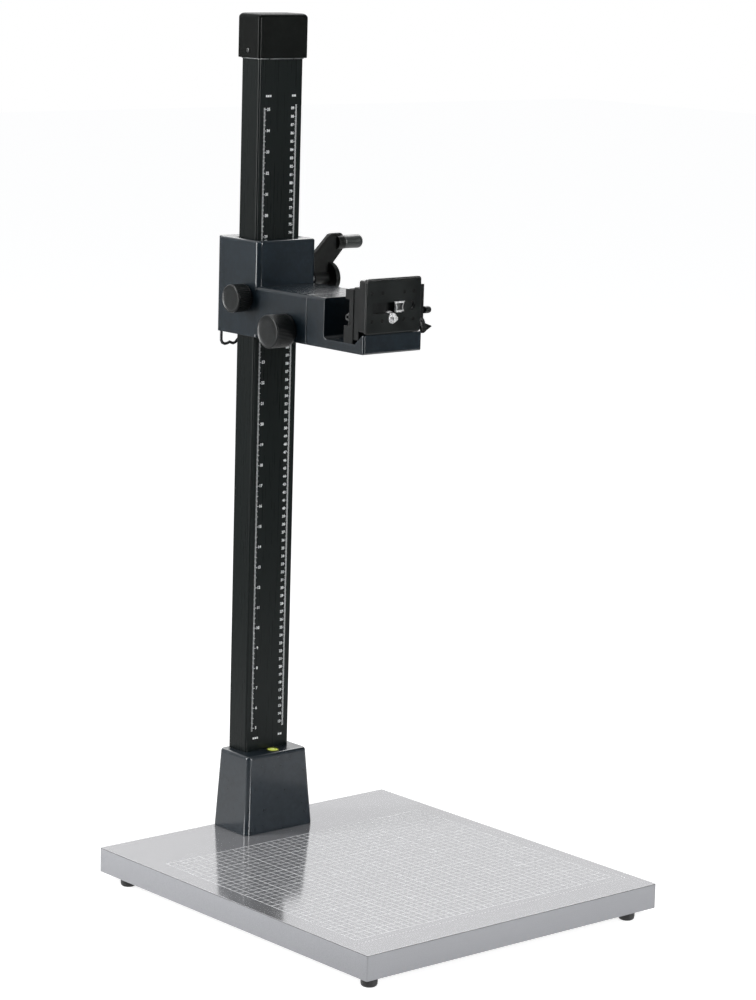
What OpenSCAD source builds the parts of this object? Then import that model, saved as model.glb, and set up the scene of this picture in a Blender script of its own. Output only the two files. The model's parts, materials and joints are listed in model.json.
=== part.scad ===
// Copy stand: a grid board, a scaled column and a counterbalanced camera arm.
// Origin on the floor under the middle of the board. +Z up, the front faces -Y.

/* [Baseboard] */
// Width of the board, left to right
board_w = 450; // [380:10:600]
// Depth of the board, front to back
board_d = 500; // [440:10:600]
// Thickness of the particle board core
core_t = 28; // [18:1:40]
// Thickness of the laminate on top of the core
laminate_t = 1; // [0.6:0.2:2]
// Thickness of the strips glued round the edges
band_t = 1; // [0.6:0.2:2]
// Diameter of a rubber foot
foot_d = 19.5; // [14:0.5:30]
// Height of a rubber foot
foot_h = 10; // [6:1:20]
// From the left edge to the middle of the left feet
foot_in_left = 13.5; // [12:0.5:60]
// From the right edge to the middle of the right feet
foot_in_right = 36; // [12:0.5:60]
// From the front edge to the middle of the front feet
foot_in_front = 11.5; // [10:0.5:60]
// From the back edge to the middle of the back feet
foot_in_back = 40; // [30:1:60]

/* [Column foot] */
// Width of the block at its base
block_w = 106; // [90:1:140]
// Depth of the block at its base
block_d = 67; // [60:1:67]
// Height of the block
block_h = 98; // [70:1:130]
// How far each side leans in at the top
block_taper = 6.5; // [3:0.5:8]
// Diameter of the round level
level_d = 16; // [12:0.5:20]
// How far the level sits to the right of the middle
level_x = 3; // [-20:1:20]

/* [Column] */
// Width of the column
col_w = 67; // [60:1:80]
// Depth of the column
col_d = 34; // [30:1:40]
// Wall of the column
col_wall = 3; // [2.5:0.5:5]
// From the top of the board to the top of the cap
stand_h = 1002.5; // [900:0.5:1200]
// From the back of the column to the back edge of the board
col_back_gap = 4; // [4:1:30]
// How far the cap stands proud of the column
cap_proud = 4; // [3:0.5:8]
// Height of the cap
cap_h = 51; // [40:1:70]

/* [Carriage] */
// Height of the underside of the carriage over the board
carriage_rise = 618; // [200:1:780]
// Width of the carriage and its arm
car_w = 89; // [86:1:110]
// Height of the carriage
car_h = 116; // [110:1:140]
// Solid front of the carriage, ahead of the column
car_front = 20; // [19:0.5:30]
// Room behind the column for the rollers and the spring
car_back = 27; // [25:0.5:35]
// Length of the arm ahead of the carriage
arm_l = 92; // [80:1:140]
// Height of the arm
arm_h = 59; // [54:1:70]

/* [Controls] */
// Distance from the crank axis to the grip axis
crank_throw = 42.5; // [35:0.5:50]
// Radius of the crank hub
crank_hub_r = 18.9; // [14:0.1:20]
// Radius of the crank grip
grip_r = 8.4; // [6:0.1:10]
// Length of the crank grip
grip_l = 29; // [24:1:60]
// Diameter of the carriage lock knob
lock_d = 34; // [26:1:38]
// Length of the carriage lock knob
lock_l = 22.2; // [16:0.2:30]
// Diameter of the swivel clamp knob
clamp_d = 40; // [30:0.5:44]
// Length of the swivel clamp knob
clamp_l = 29.5; // [20:0.5:40]

/* [Camera head] */
// Depth of the swivel block
head_d = 33; // [28:1:45]
// From the swivel block to the front of the shelf
shelf_l = 72; // [66:1:90]
// Thickness of the shelf
shelf_t = 11; // [9:0.5:14]
// Radius of the swivel shaft
pivot_r = 11; // [9:0.5:12]
// Width of the camera plate
plate_w = 84; // [70:1:86]
// Height of the camera plate
plate_h = 65; // [60:1:80]
// Radius of the camera screw's thread
screw_r = 3.1; // [2.4:0.1:4.8]

/* [Hidden] */
$fn = 48;

// Clearances
slide_gap = 0.1;
run_gap = 0.05;
free_gap = 0.3;
eps = 0.01;

// Board
board_t = core_t + 2 * laminate_t;
board_z = foot_h + board_t;
foot_x = [-board_w / 2 + foot_in_left, board_w / 2 - foot_in_right];
foot_y = [-board_d / 2 + foot_in_front, board_d / 2 - foot_in_back];
foot_screw_r = 2.5;
foot_screw_head_r = 4.6;
foot_screw_l = 22;

// Column and its foot
col_y = board_d / 2 - col_back_gap - col_d / 2;
col_front = col_y - col_d / 2;
col_back = col_y + col_d / 2;
col_r = 2.2;
top_z = board_z + stand_h;
cap_z = top_z - cap_h;
cap_wall = 3;
cap_r = 6;
col_top = top_z - cap_wall - 3;
block_floor = 12;
col_bottom = board_z + block_floor;
block_back = board_d / 2;
block_front = block_back - block_d;
block_mid_y = (block_front + block_back) / 2;
block_r = 5;
block_round = 3;
groove_w = 20;
groove_t = 1.6;
level_y = col_front - level_d / 2 - 0.4;
level_depth = 7;
bolt_r = 4;
bolt_x = block_w / 2 - 10;
bolt_dy = 20;
foot_plate_t = 4;
foot_plate_edge = 10;
foot_plate_deep = 6;
bolt_into_block = 28;

// Carriage
car_z = board_z + carriage_rise;
car_y0 = col_front - car_front;
car_y1 = col_back + car_back;
car_r = 6;
car_top_r = 3;
arm_edge_r = 5;
car_mid_y = (car_y0 + car_y1) / 2;
pad_t = 2.9;
pass_w = col_w + 2 * (pad_t + slide_gap);
pass_y0 = col_front - pad_t - slide_gap;
chamber_y1 = car_y1 - 4;
cover_t = 4;
cover_screw_x = 28;
cover_screw_z = 3.5;
cover_screw_in = 11;
wall_z = 7;
pad_h = 24;
pad_w = 16;
pad_in = 5;

// Friction drive
shaft_r = 4;
shaft_y = col_front - 8;
shaft_z = car_z + 65.5;
roller_r = col_front - shaft_y - slide_gap;
roller_w = 20;
roller_pocket = 0.8;
bush_r = 6;
bush_l = 13;
shaft_x0 = -roller_w / 2 - bush_l;

// Rollers and spring behind the column
back_roller_r = 8 - slide_gap;
back_roller_y = col_back + 8;
back_roller_z = [car_z + 18, car_z + car_h - 18];
axle_r = 3;
axle_in = 3.5;
axle_l = pass_w + 2 * axle_in;
drum_z = car_z + 58;
coil_r = 7.8;
band_thick = 0.3;
coil_y = col_back - groove_t + band_thick + 0.05 + coil_r;
drum_r = 5;
band_w = 16;
anchor_z = col_top - 14;

// Arm and head
arm_z = car_z + 3;
arm_y0 = car_y0 - arm_l;
pivot_z = arm_z + arm_h / 2;
pivot_l = 52;
clamp_y = arm_y0 + 36;
wedge_r = 6;
clamp_z = pivot_z - pivot_r + 0.5 - wedge_r;
waist_r = pivot_z - clamp_z - wedge_r - free_gap;
waist_w = 2 * wedge_r + 2;
head_y1 = arm_y0 - free_gap;
head_y0 = arm_y0 - head_d;
shelf_y0 = head_y0 - shelf_l;
fascia_h = 22;
fascia_t = 3.5;
ramp_l = 17;

// Crank
crank_x0 = car_w / 2 + 5;
crank_collar_r = 7.4;
crank_disc_t = 6.4;
crank_disc_x = car_w / 2 + 27.4;
crank_out_x = crank_disc_x + crank_disc_t;
web_t = 5.2;
grip_x0 = crank_out_x + 15.7;
grip_z = shaft_z + crank_throw;
grip_pin_r = 2.5;
shaft_x1 = crank_disc_x;

// Knobs
knob_gap = 0.4;
lock_y = col_front + 5;
lock_z = car_z + 46;
stud_r = 4;
shoe_gap = 0.5;
shoe_t = 2.2;
shoe_r = 7;

// Camera plate and its clamp
plate_y0 = shelf_y0 - 0.8;
pad_face_t = 1.4;
plate_t = 4.9;
plate_y1 = plate_y0 + plate_t;
plate_z = arm_z + fascia_h + 1;
plate_r = 4;
tongue_w = 54;
tongue_t = 3.5;
bed_y0 = plate_y1 + slide_gap;
bed_t = 8.6;
bed_y1 = bed_y0 + bed_t;
bed_z = plate_z + 2;
bed_h = plate_h - 4;
bed_flange_x = 53;
bed_flange_t = 5;
bed_floor_y = bed_y0 + tongue_t + 0.2;
spacer_t = 9.2;
spacer_z = bed_z - 10;
bracket_y0 = bed_y1 + spacer_t;
bracket_t = 7;
bracket_w = car_w - 3;
bracket_lug = 14;
bracket_foot = 16;
bracket_z = arm_z + shelf_t;
bracket_h = 64;
slot_h = 12.5;
slot_x0 = -33;
slot_x1 = 14;
slot_z = plate_z + 30.5;
screw_x = -2;
screw_z = plate_z + 18;
screw_out = 6;
collar_r = 6.2;
stop_x = 7;
stop_travel = 15;
lever_x = 48.5;
lever_z = plate_z + 11;
lever_t = 3;
button_z = plate_z + 23;
button_r = 4.2;
button_l = 5.3;
button_travel = 2.5;
under_x = -14;
under_y = head_y0 + 17;
under_r = 8;
under_stud_l = 14;

// A bar of length l along X that starts at the origin
module bar_x(r, l) {
    rotate([0, 90, 0]) cylinder(r = r, h = l);
}

// A bar of length l along Y that starts at the origin
module bar_y(r, l) {
    rotate([-90, 0, 0]) cylinder(r = r, h = l);
}

// A rectangle centred on the origin with round corners
module round_rect(w, d, r) {
    square([w - 2 * r, d], center = true);
    square([w, d - 2 * r], center = true);
    for (x = [-1, 1], y = [-1, 1])
        translate([x * (w / 2 - r), y * (d / 2 - r)]) circle(r = r);
}

// A plate that stands in the X-Z plane, from y = 0 to y = t, with round corners
module upright_plate(w, h, t, r) {
    translate([0, t, h / 2]) rotate([90, 0, 0]) linear_extrude(t) round_rect(w, h, r);
}

// A screw along Z with its head below z = 0 and its shank above
module screw_up(r, l, head_r, head_h) {
    cylinder(r = r, h = l);
    difference() {
        translate([0, 0, -head_h]) cylinder(r = head_r, h = head_h);
        translate([0, 0, -head_h - eps]) cylinder(r = head_r * 0.5, h = head_h * 0.6, $fn = 6);
    }
}

// A knob along X whose open face lies at x = 0 and whose front is at x = l
module ribbed_knob(d, l, ribs, rib_r, edge) {
    core_r = d / 2 - rib_r * 0.5;
    rotate([0, 90, 0]) {
        rotate_extrude() polygon([
            [0, 0], [core_r - 1, 0], [core_r, 1], [core_r, l - edge],
            [core_r - edge * 0.3, l - edge * 0.3], [core_r - edge, l], [0, l]
        ]);
        for (i = [0 : ribs - 1])
            rotate(i * 360 / ribs) translate([core_r - rib_r * 0.5, 0, 1.5])
                cylinder(r = rib_r, h = l - edge - 2.5, $fn = 16);
    }
}

module rubber_feet() {
    color("#1b1b1c")
        for (x = foot_x, y = foot_y)
            translate([x, y, 0]) difference() {
                rotate_extrude() polygon([
                    [0, 0], [foot_d / 2 - 3, 0], [foot_d / 2 - 1.2, 0.8],
                    [foot_d / 2 - 0.4, 2.4], [foot_d / 2, foot_h], [0, foot_h]
                ]);
                translate([0, 0, -eps]) cylinder(r = foot_screw_head_r + 0.4, h = foot_h / 2 + eps);
                cylinder(r = foot_screw_r + run_gap, h = foot_h + eps);
            }
}

module foot_screws() {
    color("silver")
        for (x = foot_x, y = foot_y)
            translate([x, y, foot_h / 2])
                screw_up(foot_screw_r, foot_screw_l, foot_screw_head_r, 2.5);
}

module board_core() {
    color("#8d8f93") difference() {
        translate([-board_w / 2 + band_t, -board_d / 2 + band_t, foot_h])
            cube([board_w - 2 * band_t, board_d - 2 * band_t, core_t + laminate_t]);
        for (x = foot_x, y = foot_y)
            translate([x, y, foot_h - eps])
                cylinder(r = foot_screw_r + run_gap, h = foot_screw_l - foot_h / 2 + 1);
        foot_plate_recess();
        for (x = [-1, 1], y = [-1, 1])
            translate([x * bolt_x, block_mid_y + y * bolt_dy, foot_h])
                cylinder(r = bolt_r + 0.3, h = board_t);
    }
}

module foot_plate_recess() {
    translate([0, block_mid_y, foot_h - eps]) linear_extrude(foot_plate_t + foot_plate_deep + eps)
        round_rect(block_w + 0.6, 2 * (bolt_dy + foot_plate_edge) + 0.6, 4);
}

module board_laminate() {
    color("#c9cacd") difference() {
        translate([-board_w / 2, -board_d / 2, board_z - laminate_t])
            cube([board_w, board_d, laminate_t]);
        for (x = [-1, 1], y = [-1, 1])
            translate([x * bolt_x, block_mid_y + y * bolt_dy, board_z - 2 * laminate_t])
                cylinder(r = bolt_r + 0.3, h = 3 * laminate_t);
    }
}

module edge_bands() {
    color("#9fa1a6") {
        for (side = [-1, 1]) {
            translate([-board_w / 2, side * (board_d - band_t) / 2 - band_t / 2, foot_h])
                cube([board_w, band_t, board_t - laminate_t]);
            translate([side * (board_w - band_t) / 2 - band_t / 2, -board_d / 2 + band_t, foot_h])
                cube([band_t, board_d - 2 * band_t, board_t - laminate_t]);
        }
    }
}

// One level of the tapering block: inset k, thickness t, at height z
module block_slab(k, k_back, z, t) {
    translate([0, block_mid_y + (k - k_back) / 2, board_z + z]) linear_extrude(t)
        round_rect(block_w - 2 * k, block_d - k - k_back, block_r, $fn = 32);
}

module column_foot() {
    back_taper = 2;
    color("#2b3036") difference() {
        hull() {
            block_slab(0, 0, 0, 1);
            block_slab(block_taper, back_taper, block_h - block_round - 1, 1);
            block_slab(block_taper + block_round, back_taper + 1, block_h - 0.5, 0.5);
        }
        translate([0, col_y, col_bottom]) linear_extrude(block_h)
            round_rect(col_w + 2 * run_gap, col_d + 2 * run_gap, col_r);
        translate([level_x, level_y, board_z + block_h - level_depth])
            cylinder(r = level_d / 2 + run_gap, h = level_depth + 1);
        for (x = [-1, 1], y = [-1, 1])
            translate([x * bolt_x, block_mid_y + y * bolt_dy, board_z - eps])
                cylinder(r = bolt_r + run_gap, h = bolt_into_block + 3);
        for (z = set_screw_z) translate([0, col_back - 1, z]) bar_y(3 + run_gap, 8);
    }
}

// Two set screws that press on the floor of the groove in the column
set_screw_z = [board_z + 25, board_z + 65];
module column_screws() {
    color("silver") for (z = set_screw_z) translate([0, col_back - groove_t, z]) difference() {
        bar_y(3, groove_t + 2);
        translate([0, 1.6, 0]) bar_y(1.5, 4, $fn = 6);
    }
}

module foot_plate() {
    color("silver") difference() {
        translate([0, block_mid_y, foot_h + foot_plate_deep]) linear_extrude(foot_plate_t)
            round_rect(block_w, 2 * (bolt_dy + foot_plate_edge), 4);
        for (x = [-1, 1], y = [-1, 1])
            translate([x * bolt_x, block_mid_y + y * bolt_dy, foot_h])
                cylinder(r = bolt_r + 0.3, h = foot_plate_deep + foot_plate_t + 1);
    }
}

module foot_bolts() {
    color("silver")
        for (x = [-1, 1], y = [-1, 1])
            translate([x * bolt_x, block_mid_y + y * bolt_dy, foot_h + foot_plate_deep])
                screw_up(bolt_r, board_t - foot_plate_deep + bolt_into_block, 6.5, 5);
}

module level_cup() {
    color("#caa92a") translate([level_x, level_y, board_z + block_h - level_depth])
        difference() {
            cylinder(r = level_d / 2, h = level_depth + 0.6);
            translate([0, 0, 1.5]) cylinder(r = level_d / 2 - 1.2, h = level_depth);
        }
}

module level_vial() {
    color("#c8e63c") translate([level_x, level_y, board_z + block_h - level_depth + 1.5])
        rotate_extrude() polygon([
            [0, 0], [level_d / 2 - 1.25, 0], [level_d / 2 - 1.25, level_depth - 1.2],
            [level_d / 4, level_depth - 0.6], [0, level_depth - 0.4]
        ]);
}

// Outline of the column with the groove for the spring band in its back
module column_outline() {
    difference() {
        round_rect(col_w, col_d, col_r);
        translate([-groove_w / 2, col_d / 2 - groove_t]) square([groove_w, groove_t + 1]);
    }
}

module column() {
    inner_d = col_d - 2 * col_wall - groove_t;
    color("#141517") translate([0, col_y, col_bottom]) linear_extrude(col_top - col_bottom)
        difference() {
            column_outline();
            translate([0, -groove_t / 2]) round_rect(col_w - 2 * col_wall, inner_d, 1.5);
        }
}

module cap_corners() {
    for (x = [-1, 1], y = [-1, 1])
        translate([x * (col_w / 2 + cap_proud - cap_r), y * (col_d / 2 + cap_proud - cap_r), 0])
            children();
}

module column_cap() {
    color("#1d1f21") translate([0, col_y, 0]) difference() {
        hull() {
            cap_corners() translate([0, 0, cap_z]) cylinder(r = cap_r, h = cap_h - cap_r, $fn = 32);
            cap_corners() translate([0, 0, top_z - cap_r]) sphere(r = cap_r, $fn = 32);
        }
        translate([0, 0, cap_z - 1]) linear_extrude(col_top - cap_z + 1)
            round_rect(col_w + 2 * run_gap, col_d + 2 * run_gap, col_r);
        cap_screw_holes();
    }
}

module cap_screw_holes() {
    for (side = [0, 1]) mirror([side, 0, 0])
        translate([col_w / 2 - 1, 0, cap_z + 7]) bar_x(1.5 + run_gap, 20);
}

module cap_screws() {
    color("silver")
        for (side = [0, 1]) mirror([side, 0, 0])
            translate([col_w / 2, col_y, cap_z + 7]) {
                bar_x(1.5, cap_proud);
                translate([cap_proud, 0, 0]) difference() {
                    bar_x(2.9, 1.6);
                    translate([0.6, -0.4, -4]) cube([2, 0.8, 8]);
                }
            }
}

module band_anchor() {
    color("silver") {
        translate([-7, col_back - groove_t + band_thick, anchor_z])
            cube([14, groove_t - band_thick - 0.1, 10]);
    }
}

module spring_band() {
    color("#8a8f96") translate([-band_w / 2, col_back - groove_t, drum_z])
        cube([band_w, band_thick, anchor_z + 10 - drum_z]);
}

// Outline of the carriage seen from above
module car_outline() {
    translate([0, car_mid_y]) round_rect(car_w, car_y1 - car_y0, car_r);
}

// The outside of the carriage, with its front, left and right top edges rounded
module car_body() {
    intersection() {
        translate([0, 0, car_z]) linear_extrude(car_h) car_outline();
        translate([0, car_y0 - 1, car_z - 10])
            upright_plate(car_w, car_h + 10, car_y1 - car_y0 + 2, car_top_r);
        translate([-car_w / 2 - 1, car_y1 + 10, car_z + car_h / 2 - 5]) rotate([90, 0, 90])
            linear_extrude(car_w + 2) translate([-(car_y1 - car_y0) / 2 - 10, 0])
                round_rect(car_y1 - car_y0 + 20, car_h + 10, car_top_r);
    }
}

// The arm or head between two depths, with its long top edges rounded
module arm_bar(y0, y1) {
    intersection() {
        translate([0, y0, arm_z - 10]) upright_plate(car_w, arm_h + 10, y1 - y0, arm_edge_r);
        translate([-car_w / 2, y0, arm_z]) cube([car_w, y1 - y0, arm_h]);
    }
}

module cover_screw_places() {
    for (x = [-1, 1], z = [cover_screw_z, car_h - cover_screw_z])
        translate([x * cover_screw_x, 0, car_z + z]) children();
}

module carriage_housing() {
    color("#4a5562") difference() {
        union() {
            difference() {
                car_body();
                translate([-car_w, chamber_y1, car_z - 1]) cube([2 * car_w, car_w, car_h + 2]);
            }
            arm_bar(arm_y0, car_y0 + car_r + 1);
        }
        // Passage for the column
        translate([-pass_w / 2, pass_y0, car_z - 1])
            cube([pass_w, col_back + 3 - pass_y0, car_h + 2]);
        // Chamber for the rollers and the spring
        translate([-pass_w / 2, col_back, car_z + wall_z])
            cube([pass_w, chamber_y1 - col_back + 1, car_h - 2 * wall_z]);
        // Pocket for the drive roller
        translate([-roller_w / 2 - roller_pocket, shaft_y - roller_r - roller_pocket,
                shaft_z - roller_r - roller_pocket])
            cube([roller_w + 2 * roller_pocket, col_front - shaft_y + roller_r,
                2 * (roller_r + roller_pocket)]);
        // Bores for the bushings of the drive shaft
        translate([shaft_x0 - 1, shaft_y, shaft_z]) bar_x(bush_r, -shaft_x0 + 1);
        translate([0, shaft_y, shaft_z]) bar_x(bush_r, car_w);
        // Blind holes for the axles
        for (z = back_roller_z)
            translate([-axle_l / 2, back_roller_y, z]) bar_x(axle_r + run_gap, axle_l);
        translate([-axle_l / 2, coil_y, drum_z]) bar_x(axle_r + run_gap, axle_l);
        // Swivel bore and the cross bore for its clamp
        translate([0, arm_y0 - 1, pivot_z]) bar_y(pivot_r + run_gap, pivot_l + 2);
        translate([-car_w / 2 - 1, clamp_y, clamp_z]) bar_x(wedge_r + run_gap, wedge_x1 + 1 + car_w / 2);
        // Lock stud and brake shoe
        translate([-car_w / 2 - 1, lock_y, lock_z]) bar_x(stud_r + run_gap, 20);
        translate([-pass_w / 2 - 1, lock_y, lock_z]) bar_x(shoe_r + 0.2, 3);
        // Hollow underside of the arm
        translate([-car_w / 2 + 7, arm_y0 + pivot_l + 6, arm_z - 1])
            cube([car_w - 14, arm_l - pivot_l - 13, arm_h - 6]);
        hook_legs(run_gap);
        cover_screw_places() translate([0, chamber_y1 - cover_screw_in - 1, 0])
            bar_y(1.5 + run_gap, cover_screw_in + 2);
    }
}

module rear_cover() {
    color("#454f5b") difference() {
        intersection() {
            car_body();
            translate([-car_w, chamber_y1, car_z - 1]) cube([2 * car_w, car_w, car_h + 2]);
        }
        cover_screw_places() translate([0, chamber_y1 - 1, 0]) bar_y(1.5 + run_gap, cover_t + 2);
    }
}

module cover_screws() {
    color("silver") cover_screw_places() translate([0, chamber_y1 + cover_t, 0]) {
        translate([0, -cover_t - cover_screw_in, 0]) bar_y(1.5, cover_t + cover_screw_in);
        difference() {
            bar_y(2.9, 1.6);
            translate([-4, 0.8, -0.4]) cube([8, 2, 0.8]);
        }
    }
}

module glide_pads() {
    color("#e8e6df")
        for (z = [car_z + pad_in, car_z + car_h - pad_in - pad_h]) {
            for (side = [0, 1]) mirror([side, 0, 0])
                translate([pass_w / 2 - pad_t, col_y - pad_w / 2, z]) cube([pad_t, pad_w, pad_h]);
            translate([-pad_w / 2, pass_y0, z]) cube([pad_w, pad_t, pad_h]);
        }
}

module shaft_bushings() {
    color("#b08d57") difference() {
        union() {
            translate([shaft_x0, shaft_y, shaft_z]) bar_x(bush_r, bush_l);
            translate([car_w / 2 - bush_l, shaft_y, shaft_z]) bar_x(bush_r, bush_l);
        }
        translate([shaft_x0 - 1, shaft_y, shaft_z]) bar_x(shaft_r + run_gap, car_w + 20);
    }
}

module roller_axles() {
    color("silver")
        for (z = back_roller_z)
            translate([-axle_l / 2 + 0.1, back_roller_y, z]) bar_x(axle_r, axle_l - 0.2);
}

module drum_axle() {
    color("silver")
        translate([-axle_l / 2 + 0.1, coil_y, drum_z]) bar_x(axle_r, axle_l - 0.2);
}

// Bent wire under the back of the carriage: two legs and three bends between them
hook_r = 1.8;
hook_y = car_y1 - 6;
hook_x = [-car_w / 2 + 3.9, -car_w / 2 + 35.5];
hook_points = [
    [hook_x[0], 3], [hook_x[0], -11.5], [hook_x[0] + 1.6, -14.8], [hook_x[0] + 5.2, -16.5],
    [hook_x[0] + 9.5, -16.1], [hook_x[0] + 13, -14.7], [hook_x[0] + 16, -16], [hook_x[0] + 18.6, -16.7],
    [hook_x[0] + 22, -15.6], [hook_x[1] - 4.6, -10.8], [hook_x[1] - 1.1, -6.5], [hook_x[1], -2],
    [hook_x[1], 3]
];

module hook_legs(gap) {
    for (x = hook_x)
        translate([x, hook_y, car_z - 1]) cylinder(r = hook_r + gap, h = 4.5 + hook_r);
}

module cable_hook() {
    color("#6c7076") for (i = [0 : len(hook_points) - 2]) hull() {
        for (p = [hook_points[i], hook_points[i + 1]])
            translate([p[0], hook_y, car_z + p[1]]) sphere(r = hook_r, $fn = 14);
    }
}

wedge_x0 = -15;
wedge_x1 = 18;
module clamp_wedges() {
    color("#b08d57") difference() {
        union() {
            translate([wedge_x0, clamp_y, clamp_z]) bar_x(wedge_r, 14);
            translate([1, clamp_y, clamp_z]) bar_x(wedge_r, wedge_x1 - 1);
        }
        translate([-40, clamp_y, clamp_z]) bar_x(stud_r + run_gap, 80);
    }
}

module drive_shaft() {
    color("silver") translate([shaft_x0 + 0.2, shaft_y, shaft_z]) bar_x(shaft_r, shaft_x1 - shaft_x0);
}

module drive_roller() {
    color("#2a2a2b") translate([-roller_w / 2, shaft_y, shaft_z]) difference() {
        bar_x(roller_r, roller_w);
        translate([-1, 0, 0]) bar_x(shaft_r, roller_w + 2);
    }
}

module crank_arm() {
    top_x0 = crank_disc_x + 0.7;
    color("#22272a") difference() {
        union() {
            translate([crank_x0, shaft_y, shaft_z]) bar_x(crank_collar_r, crank_disc_x - crank_x0 + 1);
            translate([crank_disc_x, shaft_y, shaft_z]) bar_x(crank_hub_r, crank_disc_t);
            translate([grip_x0 - 10, shaft_y, grip_z]) bar_x(grip_r + 0.4, 10);
            // Web that carries the grip, in the plane of the shaft
            translate([0, shaft_y + web_t / 2, shaft_z]) rotate([90, 0, 0]) linear_extrude(web_t)
                polygon([
                    [crank_x0, -6], [crank_x0, crank_throw + 10.2 - (top_x0 - crank_x0) * 0.95],
                    [top_x0, crank_throw + 10.2], [top_x0 + 3.6, crank_throw + 11.5],
                    [grip_x0 - 3, crank_throw + 11.5], [grip_x0, crank_throw + 9],
                    [grip_x0, crank_throw - 9], [crank_out_x + 1, crank_hub_r - 1],
                    [crank_out_x, -6]
                ]);
        }
        translate([crank_x0 - 1, shaft_y, shaft_z]) bar_x(shaft_r, shaft_x1 - crank_x0 + 1.5);
        translate([crank_disc_x, shaft_y, shaft_z]) bar_x(2.5, 20);
        translate([grip_x0 - 9, shaft_y, grip_z]) bar_x(grip_pin_r, 20);
    }
}

module crank_screw() {
    color("silver") translate([crank_disc_x + 0.5, shaft_y, shaft_z]) {
        bar_x(2.5, crank_disc_t - 0.5);
        translate([crank_disc_t - 0.5, 0, 0]) difference() {
            bar_x(5, 2.2);
            translate([1, -0.6, -8]) cube([4, 1.2, 16]);
        }
    }
}

module grip_pin() {
    color("silver") translate([grip_x0 - 9, shaft_y, grip_z]) {
        bar_x(grip_pin_r, grip_l + 9 - 5);
        translate([grip_l + 9 - 7, 0, 0]) bar_x(grip_pin_r + 1.5, 2);
    }
}

module crank_grip() {
    end_round = 4;
    color("#26292b") translate([grip_x0 + free_gap, shaft_y, grip_z]) rotate([0, 90, 0])
        rotate_extrude() polygon([
            [grip_pin_r + run_gap, 0], [grip_r - 0.6, 0], [grip_r, 0.6],
            [grip_r, grip_l - end_round], [grip_r - 0.8, grip_l - 2], [grip_r - 2.2, grip_l - 0.7],
            [grip_r - end_round, grip_l], [0, grip_l], [0, grip_l - 4],
            [grip_pin_r + 1.8, grip_l - 4], [grip_pin_r + 1.8, grip_l - 7.6],
            [grip_pin_r + run_gap, grip_l - 7.6]
        ]);
}

// A spool that rolls on the column each side of the spring band
module back_roller(z) {
    rim_w = 16;
    neck_w = groove_w + 2;
    translate([0, back_roller_y, z]) difference() {
        union() {
            for (x = [-neck_w / 2 - rim_w, neck_w / 2])
                translate([x, 0, 0]) bar_x(back_roller_r, rim_w);
            translate([-neck_w / 2, 0, 0]) bar_x(axle_r + 2, neck_w);
        }
        translate([-50, 0, 0]) bar_x(axle_r + run_gap, 100);
    }
}

module upper_roller() {
    color("#d9d6cc") back_roller(back_roller_z[1]);
}

module lower_roller() {
    color("#d9d6cc") back_roller(back_roller_z[0]);
}

module spring_drum() {
    flange_t = 1.5;
    color("#b9bcc0") translate([0, coil_y, drum_z]) difference() {
        union() {
            translate([-band_w / 2, 0, 0]) bar_x(drum_r, band_w);
            for (x = [-band_w / 2 - flange_t - 10, band_w / 2])
                translate([x, 0, 0]) bar_x(drum_r, flange_t + 10);
        }
        translate([-50, 0, 0]) bar_x(axle_r + run_gap, 100);
    }
}

module spring_coil() {
    color("#7e848c") translate([0, coil_y, drum_z]) difference() {
        translate([-band_w / 2, 0, 0]) bar_x(coil_r, band_w);
        translate([-20, 0, 0]) bar_x(drum_r, 40);
    }
}

module lock_knob() {
    color("#1c2022") translate([-car_w / 2 - knob_gap, lock_y, lock_z]) mirror([1, 0, 0])
        difference() {
            ribbed_knob(lock_d, lock_l, 36, 1, 2.5);
            translate([-1, 0, 0]) bar_x(stud_r + run_gap, 15);
        }
}

module lock_stud() {
    shoe_x = -col_w / 2 - shoe_gap - shoe_t;
    color("silver") translate([-car_w / 2 - knob_gap - 12, lock_y, lock_z])
        bar_x(stud_r, shoe_x + car_w / 2 + knob_gap + 12);
}

module brake_shoe() {
    color("#b08d57") translate([-col_w / 2 - shoe_gap - shoe_t, lock_y, lock_z])
        bar_x(shoe_r, shoe_t);
}

module clamp_knob() {
    color("#1c2022") translate([-car_w / 2 - knob_gap, clamp_y, clamp_z]) mirror([1, 0, 0])
        difference() {
            ribbed_knob(clamp_d, clamp_l, 72, 0.5, 3);
            translate([-1, 0, 0]) bar_x(stud_r, 16);
        }
}

module clamp_stud() {
    color("silver") translate([-car_w / 2 - knob_gap - 15, clamp_y, clamp_z])
        bar_x(stud_r, 15 + knob_gap + car_w / 2 + wedge_x1 - 1);
}

module head_profile() {
    fillet = 5;
    polygon(concat(
        [[head_y1, arm_z], [head_y1, arm_z + arm_h], [head_y0, arm_z + arm_h]],
        [for (a = [0 : 15 : 90]) [
            head_y0 - fillet + fillet * cos(a) * 1,
            arm_z + shelf_t + fillet - fillet * sin(a)
        ]],
        [
            [shelf_y0 + ramp_l, arm_z + shelf_t], [shelf_y0 + fascia_t, arm_z + fascia_h],
            [shelf_y0, arm_z + fascia_h], [shelf_y0, arm_z + 2], [shelf_y0 + 2, arm_z]
        ]
    ));
}

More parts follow.
